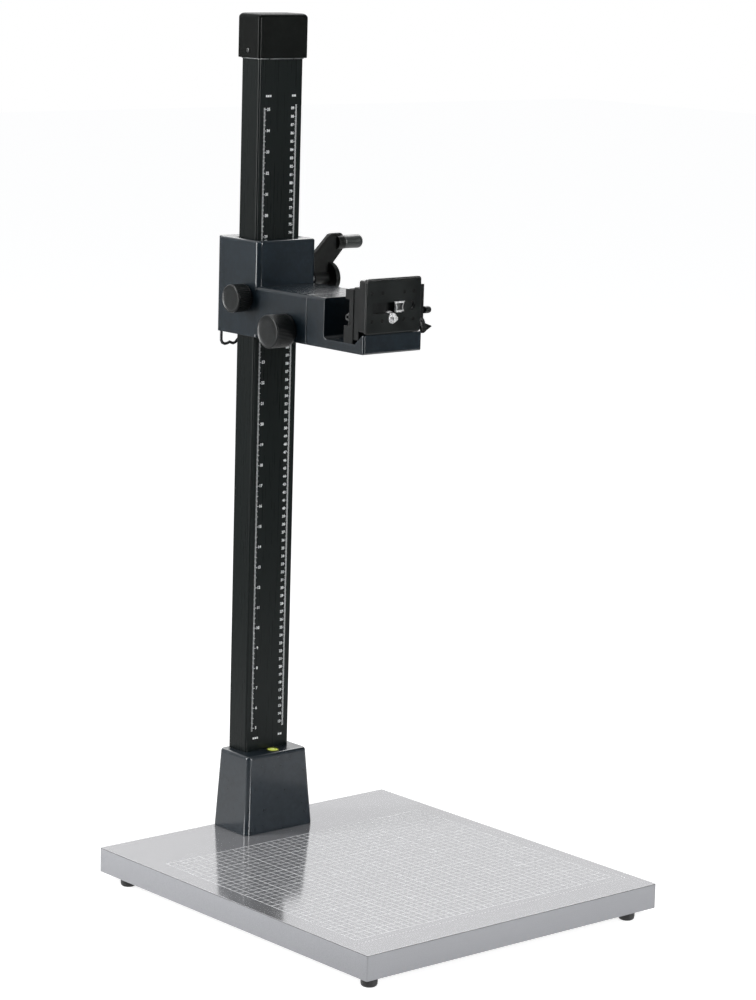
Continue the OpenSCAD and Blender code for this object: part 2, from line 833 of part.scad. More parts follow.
pivot_screw_r = 4;
bracket_screw_y = bracket_y0 + 9;
module swivel_head() {
    color("#4a5562") difference() {
        intersection() {
            translate([-car_w / 2, 0, 0]) rotate([90, 0, 90]) linear_extrude(car_w) head_profile();
            translate([0, (shelf_y0 + head_y1 + 20) / 2, arm_z - 1]) linear_extrude(arm_h + 2)
                round_rect(car_w, head_y1 + 20 - shelf_y0, 3);
            arm_bar(shelf_y0 - 1, head_y1 + 1);
        }
        translate([0, head_y0 - 1, pivot_z]) bar_y(pivot_screw_r + run_gap, 40);
        translate([0, head_y1 - 6, pivot_z]) bar_y(pivot_r, 10);
        translate([under_x, under_y, arm_z - 1]) cylinder(r = stud_r, h = 15);
        for (x = [-1, 1]) {
            translate([x * 24, bracket_screw_y, arm_z - 1]) cylinder(r = 2 + run_gap, h = 30);
            translate([x * 24, bracket_screw_y, arm_z - 1]) cylinder(r = 4.2, h = 4);
        }
    }
}

module pivot_shaft() {
    color("silver") difference() {
        union() {
            translate([0, head_y1 - 6, pivot_z]) bar_y(pivot_r, 36 - waist_w / 2 + 6 + free_gap);
            translate([0, clamp_y - waist_w / 2, pivot_z]) bar_y(waist_r, waist_w);
            translate([0, clamp_y + waist_w / 2, pivot_z])
                bar_y(pivot_r, pivot_l - 36 - waist_w / 2 - 0.5);
        }
        translate([0, head_y1 - 7, pivot_z]) bar_y(pivot_screw_r, 24);
    }
}

module pivot_screw() {
    color("silver") translate([0, head_y0, pivot_z]) {
        bar_y(pivot_screw_r, 44);
        translate([0, -4, 0]) difference() {
            bar_y(8, 4);
            translate([0, -1, 0]) bar_y(3.5, 3.5, $fn = 6);
        }
    }
}

side_screw_head_r = 4.2;
side_screw_y = bracket_y0 + bracket_t + side_screw_head_r + 0.4;
side_screw_z = bracket_z + 29.5;
module bracket() {
    color("#232628") difference() {
        union() {
            translate([0, bracket_y0, bracket_z]) upright_plate(bracket_w, bracket_h, bracket_t, 1.5);
            translate([-bracket_w / 2, bracket_y0 + 1, bracket_z + bracket_h - 13])
                cube([bracket_w, bracket_lug - 1, 11.5]);
            translate([-bracket_w / 2, bracket_y0 + 1, bracket_z]) cube([bracket_w, bracket_foot - 1, 20]);
            translate([-bracket_w / 2 + 5, bracket_y0 + 1, side_screw_z - 5])
                cube([bracket_w - 10, bracket_t + 7, 10]);
        }
        for (x = [-1, 1])
            translate([x * 24, bracket_screw_y, bracket_z - 1]) cylinder(r = 2 + run_gap, h = 14);
        for (side = [0, 1]) mirror([side, 0, 0])
            translate([bracket_w / 2 - 15, side_screw_y, side_screw_z]) bar_x(2 + run_gap, 20);
        bed_screw_places() translate([0, bracket_y0 - 1, 0]) bar_y(2 + run_gap, 5.5);
    }
}

module side_screws() {
    color("silver") for (side = [0, 1]) mirror([side, 0, 0])
        translate([bracket_w / 2 - 5, side_screw_y, side_screw_z]) {
            translate([-9, 0, 0]) bar_x(2, 9);
            difference() {
                bar_x(side_screw_head_r, 3.2);
                translate([1.2, 0, 0]) bar_x(2.2, 4, $fn = 6);
            }
        }
}

module bracket_screws() {
    color("silver") for (x = [-1, 1])
        translate([x * 24, bracket_screw_y, arm_z + 3]) screw_up(2, shelf_t - 3 + 12, 3.8, 2.6);
}

// Places of the four screws that hold the bed, seen from the front
module bed_screw_places() {
    for (x = [-19, 19], z = [bed_z + 14, bed_z + 44]) translate([x, 0, z]) children();
}

module spacer_block() {
    color("#26292b") difference() {
        translate([0, bed_y1, spacer_z]) upright_plate(plate_w, bracket_z + bracket_h - spacer_z + 2,
            spacer_t, 1.5);
        translate([0, bed_y1 - 1, spacer_z + 22]) upright_plate(26, 26, 20, 2);
        bed_screw_places() translate([0, bed_y1 - 1, 0]) bar_y(2 + run_gap, spacer_t + 2);
    }
}

module tongue(gap) {
    w = tongue_w / 2 + gap;
    polygon([
        [-w, plate_y1 - eps], [w, plate_y1 - eps], [w, plate_y1],
        [w + tongue_t * 0.7, plate_y1 + tongue_t + gap], [-w - tongue_t * 0.7, plate_y1 + tongue_t + gap],
        [-w, plate_y1]
    ]);
}

module clamp_bed() {
    color("#23272b") difference() {
        union() {
            translate([0, bed_y0, bed_z]) upright_plate(plate_w, bed_h, bed_t, 3);
            translate([0, bed_y1 - bed_flange_t, bed_z + 4])
                cube([bed_flange_x, bed_flange_t, bed_h - 13]);
        }
        translate([0, 0, plate_z + 5.5]) linear_extrude(plate_h) tongue(0.2);
        bed_screw_places() translate([0, bed_y0 - 1, 0]) {
            bar_y(2 + run_gap, bed_t + 2);
            bar_y(4, bed_floor_y + 2.4 - bed_y0 + 1);
        }
        translate([lever_x, bed_y0 - 1, lever_z]) bar_y(1.5, 20);
        translate([bed_flange_x - 22, bed_y1 - bed_flange_t / 2, button_z]) bar_x(1.3 + run_gap, 40);
    }
}

module bed_screws() {
    color("silver") bed_screw_places() translate([0, bed_floor_y + 2.4, 0]) {
        bar_y(2, bracket_y0 + 4 - bed_floor_y - 2.4);
        translate([0, -2.2, 0]) difference() {
            bar_y(3.7, 2.2);
            translate([0, -1, 0]) bar_y(1.6, 2.2, $fn = 6);
        }
    }
}

lever_y0 = bed_y1 - bed_flange_t - free_gap - lever_t;
module lever_pin() {
    color("silver") translate([lever_x, lever_y0 - 1, lever_z]) {
        bar_y(1.5, lever_t + free_gap + bed_flange_t + 1);
        translate([0, 0.2, 0]) bar_y(2.6, 0.6);
    }
}

module release_lever() {
    color("#1f2224") translate([lever_x, lever_y0, lever_z]) difference() {
        union() {
            bar_y(4, lever_t);
            translate([0, lever_t, 0]) rotate([90, 0, 0]) linear_extrude(lever_t)
                polygon([[-1, 3.8], [2, 3.4], [13.5, -4.4], [8.5, -10.6], [2, -12], [-3.6, -1.6]]);
        }
        translate([0, -1, 0]) bar_y(1.5 + run_gap, 10);
    }
}

module safety_button() {
    color("#26292c") translate([0, bed_y1 - bed_flange_t / 2, button_z]) {
        translate([bed_flange_x - 15, 0, 0]) bar_x(1.3, 19);
        translate([bed_flange_x + button_travel + 0.2, 0, 0]) rotate([0, 90, 0])
            rotate_extrude() polygon([
                [0, 0], [button_r - 0.4, 0], [button_r, 0.4], [button_r, button_l - 1.6],
                [button_r - 1.2, button_l - 0.3], [0, button_l]
            ]);
    }
}

module slot_cut(h, w0, w1) {
    translate([(w0 + w1) / 2, plate_y0 - 5, slot_z - h / 2]) upright_plate(w1 - w0, h, 20, 2.5);
}

module camera_plate() {
    color("#2a2e31") difference() {
        union() {
            translate([0, plate_y0 + pad_face_t, plate_z])
                upright_plate(plate_w, plate_h, plate_t - pad_face_t, plate_r);
            translate([0, 0, plate_z + 6]) linear_extrude(plate_h - 8) tongue(0);
        }
        slot_cut(slot_h, slot_x0, slot_x1);
        translate([screw_x, plate_y0 - 1, screw_z]) bar_y(screw_r + run_gap, 20);
        translate([screw_x, plate_y1 - 0.2, screw_z]) bar_y(8.2, 20);
        translate([26, plate_y0 - 1, slot_z + 1]) bar_y(4.5, pad_face_t + 2.6);
    }
}

module plate_pad() {
    dimple_x = [-34, -18, 15, 29.5];
    color("#33383b") difference() {
        translate([0, plate_y0, plate_z + 1.2])
            upright_plate(plate_w - 2.4, plate_h - 2.4, pad_face_t, plate_r - 1);
        slot_cut(slot_h, slot_x0, slot_x1);
        translate([screw_x, plate_y0 - 1, screw_z]) bar_y(collar_r + 0.4, 20);
        translate([26, plate_y0 - 1, slot_z + 1]) bar_y(5.8, 20);
        for (x = dimple_x, z = [plate_z + 15.5, plate_z + 48])
            translate([x, plate_y0 - 1, z]) bar_y(1.6, 2);
    }
}

module slot_stop() {
    y0 = plate_y0 - 1.8;
    color("#d8dadc") {
        translate([stop_x, plate_y0 - 0.1, slot_z + 0.5]) rotate([90, 0, 0]) linear_extrude(1.7)
            polygon([
                [-8, 6.5], [8, 6.5], [5.2, 1], [5.2, -2], [7, -5.5], [-7, -5.5], [-5.2, -2], [-5.2, 1]
            ]);
        translate([stop_x - 4, y0 + 0.8, slot_z - slot_h / 2 + free_gap])
            cube([8, plate_t - 0.6, slot_h - 2 * free_gap]);
    }
}

module camera_screw() {
    color("#d8dadc") translate([screw_x, plate_y0, screw_z]) {
        translate([0, -screw_out, 0]) bar_y(screw_r, screw_out + plate_t + 1);
        translate([0, -0.5, 0]) bar_y(collar_r, 1.6);
        translate([0, plate_t + 0.1, 0]) difference() {
            bar_y(7.8, 3.1);
            translate([-10, 1.9, -0.7]) cube([20, 4, 1.4]);
        }
    }
}

module under_knob() {
    color("#1c2022") translate([under_x, under_y, arm_z - 4.5]) {
        rotate_extrude() polygon([
            [0, 0], [under_r - 2.5, 0], [under_r, 1.5], [under_r, 4], [under_r - 0.5, 4.2], [0, 4.2]
        ]);
        translate([0, 0, 4]) cylinder(r = stud_r - run_gap, h = under_stud_l);
    }
}

rubber_feet();
foot_screws();
board_core();
board_laminate();
edge_bands();
column_foot();
foot_plate();
foot_bolts();
level_cup();
level_vial();
column();
column_cap();
cap_screws();
band_anchor();
spring_band();
column_screws();
carriage_housing();
rear_cover();
cover_screws();
glide_pads();
shaft_bushings();
roller_axles();
drum_axle();
cable_hook();
clamp_wedges();
drive_shaft();
drive_roller();
crank_arm();
crank_screw();
grip_pin();
crank_grip();
upper_roller();
lower_roller();
spring_drum();
spring_coil();
lock_knob();
lock_stud();
brake_shoe();
clamp_knob();
clamp_stud();
swivel_head();
pivot_shaft();
pivot_screw();
bracket();
bracket_screws();
side_screws();
spacer_block();
clamp_bed();
bed_screws();
lever_pin();
under_knob();
release_lever();
safety_button();
camera_plate();
plate_pad();
slot_stop();
camera_screw();
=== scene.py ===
import json
import math

import bmesh
import bpy
from mathutils import Matrix, Vector


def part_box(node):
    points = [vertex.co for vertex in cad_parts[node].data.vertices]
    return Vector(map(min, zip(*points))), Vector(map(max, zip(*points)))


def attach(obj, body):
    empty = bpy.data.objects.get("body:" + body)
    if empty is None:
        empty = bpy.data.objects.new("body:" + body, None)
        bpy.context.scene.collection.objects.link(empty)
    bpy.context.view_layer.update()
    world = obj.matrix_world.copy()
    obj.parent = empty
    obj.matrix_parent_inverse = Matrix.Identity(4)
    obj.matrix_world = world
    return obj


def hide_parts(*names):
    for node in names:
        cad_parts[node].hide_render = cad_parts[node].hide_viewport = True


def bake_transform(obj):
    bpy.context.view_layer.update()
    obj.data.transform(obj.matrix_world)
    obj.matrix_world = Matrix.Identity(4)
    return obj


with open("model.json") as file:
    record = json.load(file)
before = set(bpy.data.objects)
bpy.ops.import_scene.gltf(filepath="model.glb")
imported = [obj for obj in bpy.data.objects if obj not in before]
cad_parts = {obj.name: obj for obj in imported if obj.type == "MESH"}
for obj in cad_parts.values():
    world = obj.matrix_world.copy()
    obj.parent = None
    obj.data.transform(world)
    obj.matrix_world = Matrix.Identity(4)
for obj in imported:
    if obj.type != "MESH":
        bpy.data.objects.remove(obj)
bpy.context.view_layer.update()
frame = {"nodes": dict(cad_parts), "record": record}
nodes = frame["nodes"]
body_of = {n: b for b, ns in frame["record"]["behaviour"]["bodies"].items() for n in ns}
slot_of = {s["node"]: s["material_slot"] for s in frame["record"]["subparts"]}

# Lengths are in millimetres unless a comment says otherwise
MM = 0.001
UP, FORWARD, LEFT, RIGHT = (0, 0, 1), (0, -1, 0), (-1, 0, 0), (1, 0, 0)


# ---------- Materials ----------

class Shader:
    """Adds nodes to one new material and links them."""

    def __init__(self, name):
        self.mat = bpy.data.materials.new(name)
        self.mat.use_nodes = True
        self.tree = self.mat.node_tree
        self.bsdf = self.tree.nodes["Principled BSDF"]
        self.coord = self.add("ShaderNodeTexCoord")

    def add(self, kind, **values):
        n = self.tree.nodes.new(kind)
        for k, v in values.items():
            setattr(n, k, v)
        return n

    def link(self, a, b):
        self.tree.links.new(a, b)

    def fix(self, values):
        """Gives the shader's own sockets constant values."""
        for socket, value in values.items():
            self.bsdf.inputs[socket].default_value = value

    def noise(self, scale, detail=3.0, rough=0.55, stretch=None):
        n = self.add("ShaderNodeTexNoise")
        for socket, value in (("Scale", scale), ("Detail", detail), ("Roughness", rough)):
            n.inputs[socket].default_value = value
        source = self.coord.outputs["Object"]
        if stretch:
            m = self.add("ShaderNodeMapping")
            m.inputs["Scale"].default_value = stretch
            self.link(source, m.inputs["Vector"])
            source = m.outputs["Vector"]
        self.link(source, n.inputs["Vector"])
        return n.outputs["Fac"]

    def span(self, value, low, high, from_low=0.3, from_high=0.7):
        """Maps a value to the range low to high; most of a noise lies between 0.3 and 0.7."""
        m = self.add("ShaderNodeMapRange")
        for socket, limit in zip(("From Min", "From Max", "To Min", "To Max"), (from_low, from_high, low, high)):
            m.inputs[socket].default_value = limit
        self.link(value, m.inputs["Value"])
        return m.outputs["Result"]

    def mix(self, fac, a, b):
        """Mixes two colours, each a tuple or a socket."""
        m = self.add("ShaderNodeMix", data_type="RGBA")
        self.link(fac, m.inputs["Factor"])
        for name, value in (("A", a), ("B", b)):
            socket = [s for s in m.inputs if s.name == name and s.type == "RGBA"][0]
            if isinstance(value, tuple):
                socket.default_value = (*value, 1)
            else:
                self.link(value, socket)
        return [o for o in m.outputs if o.type == "RGBA"][0]

    def bumps(self, *layers):
        """Each layer is (height socket, strength, distance in metres); they add up."""
        last = None
        for height, strength, distance in layers:
            b = self.add("ShaderNodeBump")
            b.inputs["Strength"].default_value = strength
            b.inputs["Distance"].default_value = distance
            self.link(height, b.inputs["Height"])
            if last:
                self.link(last, b.inputs["Normal"])
            last = b.outputs["Normal"]
        self.link(last, self.bsdf.inputs["Normal"])

    def edges(self, radius):
        """0 on flat faces, 1 on edges and corners, whatever the view; the radius is in metres."""
        bevel = self.add("ShaderNodeBevel", samples=4)
        bevel.inputs["Radius"].default_value = radius
        geo = self.add("ShaderNodeNewGeometry")
        dot = self.add("ShaderNodeVectorMath", operation="DOT_PRODUCT")
        self.link(bevel.outputs["Normal"], dot.inputs[0])
        self.link(geo.outputs["Normal"], dot.inputs[1])
        return self.span(dot.outputs["Value"], 1.0, 0.0, 0.75, 1.0)


def shade(color, gain, lift=0.0):
    """A lighter or darker tone of a colour."""
    return tuple(max(0.0, min(1.0, c * gain + lift)) for c in color)


def painted(name, color, rough, grain=900, depth=0.12, wear=0.35, coat=0.0, worn=None, coat_rough=0.1,
            spec=0.5):
    """Paint, coating or moulded plastic: fine grain, soft mottling and edges that are worn lighter."""
    s = Shader(name)
    cloud = s.noise(14, 4)
    mottle = s.noise(150, 5, 0.65)
    fine = s.noise(grain, 2)
    pit = s.noise(grain * 0.35, 3)
    base = s.mix(s.span(cloud, 0.0, 1.0), shade(color, 0.78), shade(color, 1.2, 0.001))
    base = s.mix(s.span(mottle, 0.0, 0.55, 0.45, 0.7), base, shade(color, 1.7, 0.002))
    rub = s.add("ShaderNodeMath", operation="MULTIPLY")
    s.link(s.edges(0.0006), rub.inputs[0])
    s.link(s.span(s.noise(160, 4, 0.7), 0.0, wear, 0.42, 0.72), rub.inputs[1])
    s.link(s.mix(rub.outputs[0], base, worn or shade(color, 2.2, 0.03)), s.bsdf.inputs["Base Color"])
    s.link(s.span(mottle, rough - 0.06, rough + 0.08), s.bsdf.inputs["Roughness"])
    s.fix({"Specular IOR Level": spec, "Coat Weight": coat, "Coat Roughness": coat_rough})
    s.bumps((fine, depth, 0.00008), (pit, depth * 0.6, 0.00015))
    return s.mat


def metal(name, color, rough, stretch=(1, 1, 1), scale=400, depth=0.05, tint=0.12, metallic=1.0):
    """Bare metal; a small value in stretch draws its faint lines out along that axis."""
    s = Shader(name)
    lines = s.noise(scale, 3, 0.6, stretch)
    cloud = s.noise(30, 3)
    s.link(s.mix(s.span(cloud, 0.0, 1.0), shade(color, 1 - tint), shade(color, 1 + tint * 0.5)),
           s.bsdf.inputs["Base Color"])
    s.link(s.span(lines, rough - 0.06, rough + 0.1), s.bsdf.inputs["Roughness"])
    s.fix({"Metallic": metallic})
    s.bumps((lines, depth, 0.0001),)
    return s.mat


def rubbery(name, color, rough, grain=700, depth=0.25, dust=0.05, coat=0.0):
    """Rubber with a fine grain and traces of dust."""
    s = Shader(name)
    fine = s.noise(grain, 3)
    cloud = s.noise(40, 3)
    base = s.mix(s.span(cloud, 0.0, 1.0), shade(color, 0.8), shade(color, 1.25, 0.004))
    dusty = s.mix(s.span(s.noise(90, 5, 0.7), 0.0, 0.25, 0.5, 0.8), base, shade(color, 1, dust))
    s.link(dusty, s.bsdf.inputs["Base Color"])
    s.link(s.span(cloud, rough - 0.05, rough + 0.08), s.bsdf.inputs["Roughness"])
    s.fix({"Specular IOR Level": 0.5 - 0.5 * coat, "Coat Weight": coat, "Coat Roughness": 0.1})
    s.bumps((fine, depth, 0.0002),)
    return s.mat


def laminate(name, color, rough, metallic, speckle):
    """Silver-grey laminate with fine brushed streaks along X and a soft mottle."""
    s = Shader(name)
    streak = s.noise(60, 6, 0.7, (0.6, 14, 14))
    fine = s.noise(1500, 2)
    cloud = s.noise(5, 4)
    base = s.mix(s.span(streak, 0.0, 1.0, 0.25, 0.75), shade(color, 0.94), shade(color, 1.05))
    base = s.mix(s.span(cloud, 0.0, 0.4), base, shade(color, 0.95))
    s.link(s.mix(s.span(fine, 0.0, speckle), base, (0.82, 0.82, 0.84)), s.bsdf.inputs["Base Color"])
    s.link(s.span(streak, rough - 0.04, rough + 0.05, 0.25, 0.75), s.bsdf.inputs["Roughness"])
    s.fix({"Metallic": metallic})
    s.bumps((fine, 0.03, 0.00005), (streak, 0.02, 0.00005))
    return s.mat


def anodised(name, color, rough, spec):
    """Black anodised extrusion: faint drawing lines along Z and a satin sheen."""
    s = Shader(name)
    lines = s.noise(900, 3, 0.6, (1, 1, 0.012))
    cloud = s.noise(7, 3, 0.5, (1, 1, 0.4))
    fine = s.noise(2200, 2)
    base = s.mix(s.span(cloud, 0.0, 1.0), shade(color, 0.85), shade(color, 1.2))
    s.link(s.mix(s.span(lines, 0.0, 0.2), base, shade(color, 1.25, 0.0003)), s.bsdf.inputs["Base Color"])
    s.link(s.span(lines, rough - 0.01, rough + 0.015), s.bsdf.inputs["Roughness"])
    s.fix({"Specular IOR Level": spec})
    s.bumps((lines, 0.003, 0.00005), (fine, 0.05, 0.00005))
    return s.mat


def printed(name, color):
    """Screen-printed ink with slight unevenness."""
    s = Shader(name)
    thin = s.noise(500, 4, 0.7)
    s.link(s.mix(s.span(thin, 0.0, 1.0), shade(color, 0.82), color), s.bsdf.inputs["Base Color"])
    s.link(s.span(thin, 0.42, 0.58), s.bsdf.inputs["Roughness"])
    s.bumps((thin, 0.1, 0.00005),)
    return s.mat


def fluid(name, color):
    """The bright liquid of the bubble level, under its lens, with a faint glow: painted light that lifts it out
    of the column's shade.
    """
    s = Shader(name)
    cloud = s.noise(120, 3)
    s.link(s.mix(s.span(cloud, 0.0, 1.0), shade(color, 0.9), color), s.bsdf.inputs["Base Color"])
    s.link(s.span(cloud, 0.04, 0.1), s.bsdf.inputs["Roughness"])
    # The emission is painted light: the liquid glows although it is no lamp
    s.fix({"Coat Weight": 0.3, "Subsurface Weight": 0.2, "Subsurface Radius": (0.004, 0.004, 0.001),
           "Emission Color": (*color, 1), "Emission Strength": 0.4})
    s.bumps((cloud, 0.02, 0.0001),)
    return s.mat


M = {
    "black_rubber": rubbery("black_rubber", (0.012, 0.012, 0.013), 0.45),
    "grey_rubber": rubbery("grey_rubber", (0.001, 0.0028, 0.0026), 0.4, grain=1400, depth=0.1, dust=0.003,
                           coat=0.68),
    "zinc_steel": metal("zinc_steel", (0.62, 0.62, 0.6), 0.36),
    "bright_steel": metal("bright_steel", (0.88, 0.88, 0.88), 0.26, scale=600, depth=0.012, tint=0.04,
                          metallic=0.6),
    "spring_steel": metal("spring_steel", (0.42, 0.45, 0.5), 0.3, stretch=(1, 1, 0.02), scale=500),
    "board_side": laminate("board_side", (0.315, 0.32, 0.34), 0.42, metallic=0.15, speckle=0.2),
    "grid_laminate": laminate("grid_laminate", (0.48, 0.48, 0.495), 0.11, metallic=0.67, speckle=0.18),
    "grey_cast_metal": painted("grey_cast_metal", (0.007, 0.0125, 0.018), 0.32, grain=700, depth=0.14, wear=0.2,
                               coat=0.7, coat_rough=0.12, spec=0.3),
    "grey_painted_metal": painted("grey_painted_metal", (0.0045, 0.0105, 0.016), 0.4, grain=800, depth=0.08,
                                  wear=0.08, coat=1.0, coat_rough=0.06, spec=0.14),
    "dark_cast_metal": painted("dark_cast_metal", (0.0035, 0.0042, 0.0039), 0.4, grain=600, depth=0.1, wear=0.2,
                               coat=0.25, coat_rough=0.2, spec=0.14),
    "level_rim": painted("level_rim", (0.2, 0.2, 0.02), 0.3, grain=500, depth=0.05, wear=0.1, coat=0.3),
    "level_fluid": fluid("level_fluid", (0.8, 0.93, 0.16)),
    "black_anodised": anodised("black_anodised", (0.0034, 0.0056, 0.0054), 0.28, 0.2),
    "satin_aluminium": metal("satin_aluminium", (0.3, 0.31, 0.33), 0.34, stretch=(1, 1, 0.1), scale=500),
    "plate_metal": painted("plate_metal", (0.004, 0.0052, 0.0052), 0.36, grain=1200, depth=0.06, wear=0.15,
                           coat=0.9, worn=(0.2, 0.21, 0.22), coat_rough=0.07, spec=0.15),
    "black_plastic": painted("black_plastic", (0.0055, 0.0068, 0.007), 0.36, grain=1000, depth=0.06, wear=0.1,
                             coat=0.3, coat_rough=0.12, spec=0.2),
    "white_plastic": painted("white_plastic", (0.75, 0.74, 0.7), 0.45, depth=0.05, wear=0.1),
    "dark_gloss_plastic": painted("dark_gloss_plastic", (0.022, 0.025, 0.024), 0.34, grain=1200, depth=0.05,
                                  wear=0.2, coat=0.1),
    "bearing_brass": metal("bearing_brass", (0.7, 0.52, 0.26), 0.3),
    "dark_wire": painted("dark_wire", (0.03, 0.033, 0.036), 0.35, depth=0.06, wear=0.3),
}
# Dull near-black plastic: the cap's own, and on the pad's cups painted shade
CAP_PLASTIC_AND_CUP_SHADE = painted("cap_plastic_and_cup_shade", (0.002, 0.0028, 0.0024), 0.4, grain=1000, depth=0.06, wear=0.1,
                      coat=0.12, coat_rough=0.15, spec=0.06)
CLAMP_BLACK = painted("clamp_black", (0.0035, 0.0045, 0.0045), 0.38, grain=1000, depth=0.06, wear=0.1,
                      coat=0.9, coat_rough=0.06, spec=0.12)
# The carriage's paint with a rougher coat that spreads the reflection on the arm's top; its darker colour is
# painted shade on the arm and the head
ARM_PAINT_SHADED = painted("arm_paint_shaded", (0.003, 0.008, 0.0125), 0.4, grain=800, depth=0.025, wear=0.08,
                    coat=1.0, coat_rough=0.19, spec=0.1)
LAMINATE_CORE = painted("laminate_core", (0.05, 0.05, 0.052), 0.6, depth=0.1, wear=0.1)
SEAM_METAL = metal("seam_metal", (0.2, 0.21, 0.21), 0.3, scale=500, depth=0.02, tint=0.1, metallic=0.8)
# Dark steel for the screws and the pin; on the stop clip's recessed web it is painted shade
DARK_STEEL_AND_SHADE = metal("dark_steel_and_shade", (0.06, 0.062, 0.062), 0.3, scale=500, depth=0.03, tint=0.1, metallic=0.8)
INK = printed("white_ink", (0.86, 0.88, 0.88))
GRID_INK = printed("grid_ink", (0.8, 0.805, 0.815))
PALE_GLOWING_FLUID = fluid("pale_glowing_fluid", (0.88, 0.96, 0.5))
DARK_INK = printed("dark_ink", (0.05, 0.055, 0.06))


# ---------- Mesh helpers ----------

def add_object(name, mesh, material):
    obj = bpy.data.objects.new(name, mesh)
    bpy.context.scene.collection.objects.link(obj)
    mesh.materials.clear()
    mesh.materials.append(material)
    return obj


def smooth(obj, angle=35):
    obj.data.polygons.foreach_set("use_smooth", [True] * len(obj.data.polygons))
    obj.data.set_sharp_from_angle(angle=math.radians(angle))


def weigh(obj):
    """Large flat faces keep their own normals beside rounded edges."""
    level = obj.modifiers.new("WeightedNormal", "WEIGHTED_NORMAL")
    level.mode = "FACE_AREA"
    level.weight = 100
    level.keep_sharp = True


def to_mesh(bm, name):
    mesh = bpy.data.meshes.new(name)
    bm.to_mesh(mesh)
    bm.free()
    return mesh


def mesh_from(name, verts, faces, material, angle=35, merge=None):
    """A smooth-shaded piece from points in metres; points nearer than merge become one."""
    mesh = bpy.data.meshes.new(name)
    mesh.from_pydata([tuple(v) for v in verts], [], faces)
    mesh.update()
    bm = bmesh.new()
    bm.from_mesh(mesh)
    if merge:
        bmesh.ops.remove_doubles(bm, verts=bm.verts, dist=merge)
    bmesh.ops.recalc_face_normals(bm, faces=bm.faces)
    bm.to_mesh(mesh)
    bm.free()
    obj = add_object(name, mesh, material)
    smooth(obj, angle)
    return obj


def give(obj, body, slot, *replaced):
    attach(obj, body)
    if replaced:
        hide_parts(*replaced)
    return obj


def soften(node, name, width, segments=3, material=None):
    """A copy of a CAD node with clean faces and real rounded edges."""
    bm = bmesh.new()
    bm.from_mesh(nodes[node].data)
    bmesh.ops.remove_doubles(bm, verts=bm.verts, dist=1e-6)
    bmesh.ops.dissolve_limit(bm, angle_limit=math.radians(0.6), verts=bm.verts, edges=bm.edges)
    obj = add_object(name, to_mesh(bm, name), material or M[slot_of[node]])
    smooth(obj)
    bevel = obj.modifiers.new("Bevel", "BEVEL")
    bevel.width = width * MM
    bevel.segments = segments
    bevel.limit_method = "ANGLE"
    bevel.angle_limit = math.radians(40)
    bevel.use_clamp_overlap = True
    weigh(obj)
    return give(obj, body_of[node], slot_of[node], node)


def rounded_rect(w, d, r, cx=0.0, cy=0.0, per_corner=8):
    pts = []
    for qx, qy, a0 in ((1, 1, 0), (-1, 1, 90), (-1, -1, 180), (1, -1, 270)):
        for i in range(per_corner + 1):
            a = math.radians(a0 + 90 * i / per_corner)
            pts.append((cx + qx * (w / 2 - r) + r * math.cos(a), cy + qy * (d / 2 - r) + r * math.sin(a)))
    return pts


def loft(name, rings, material, angle=35, close=(True, True), along_y=False):
    """Skins a list of (outline, level) rings, stacked along Z or along Y."""
    n = len(rings[0][0])
    if along_y:
        verts = [(x * MM, level * MM, z * MM) for outline, level in rings for x, z in outline]
    else:
        verts = [(x * MM, y * MM, level * MM) for outline, level in rings for x, y in outline]
    faces = []
    for k in range(len(rings) - 1):
        for i in range(n):
            j = (i + 1) % n
            faces.append((k * n + i, k * n + j, (k + 1) * n + j, (k + 1) * n + i))
    if close[0]:
        faces.append(tuple(reversed(range(n))))
    if close[1]:
        faces.append(tuple((len(rings) - 1) * n + i for i in range(n)))
    return mesh_from(name, verts, faces, material, angle)


def cut(obj, items):
    """Cuts boxes (x0, y0, z0, x1, y1, z1) and rods out of a piece.

    A rod is ("z", x, y, z0, z1, r) or ("y", x, z, y0, y1, r).
    """
    tools = []
    for item in items:
        bm = bmesh.new()
        if not isinstance(item[0], str):
            low, high = Vector(item[:3]) * MM, Vector(item[3:]) * MM
            bmesh.ops.create_cube(bm, size=1.0, matrix=Matrix.Translation((low + high) / 2)
                                  @ Matrix.Diagonal((*(high - low), 1)))
        else:
            axis, a, b, low, high, r = item[0], *(v * MM for v in item[1:])
            if axis == "z":
                place = Matrix.Translation((a, b, (low + high) / 2))
            else:
                place = Matrix.Translation((a, (low + high) / 2, b)) @ Matrix.Rotation(math.pi / 2, 4, "X")
            bmesh.ops.create_cone(bm, cap_ends=True, segments=40, radius1=r, radius2=r, depth=high - low,
                                  matrix=place)
        tool = bpy.data.objects.new("cutter", to_mesh(bm, "cutter"))
        bpy.context.scene.collection.objects.link(tool)
        level = obj.modifiers.new("Cut", "BOOLEAN")
        level.operation = "DIFFERENCE"
        level.solver = "EXACT"
        level.object = tool
        tools.append(tool)
    bake(obj)
    for tool in tools:
        mesh = tool.data
        bpy.data.objects.remove(tool)
        bpy.data.meshes.remove(mesh)


def bake(obj):
    """Applies a piece's modifiers and shades it again."""
    bpy.context.view_layer.update()
    done = bpy.data.meshes.new_from_object(obj.evaluated_get(bpy.context.evaluated_depsgraph_get()))
    old = obj.data
    obj.modifiers.clear()
    obj.data = done
    bpy.data.meshes.remove(old)
    smooth(obj)


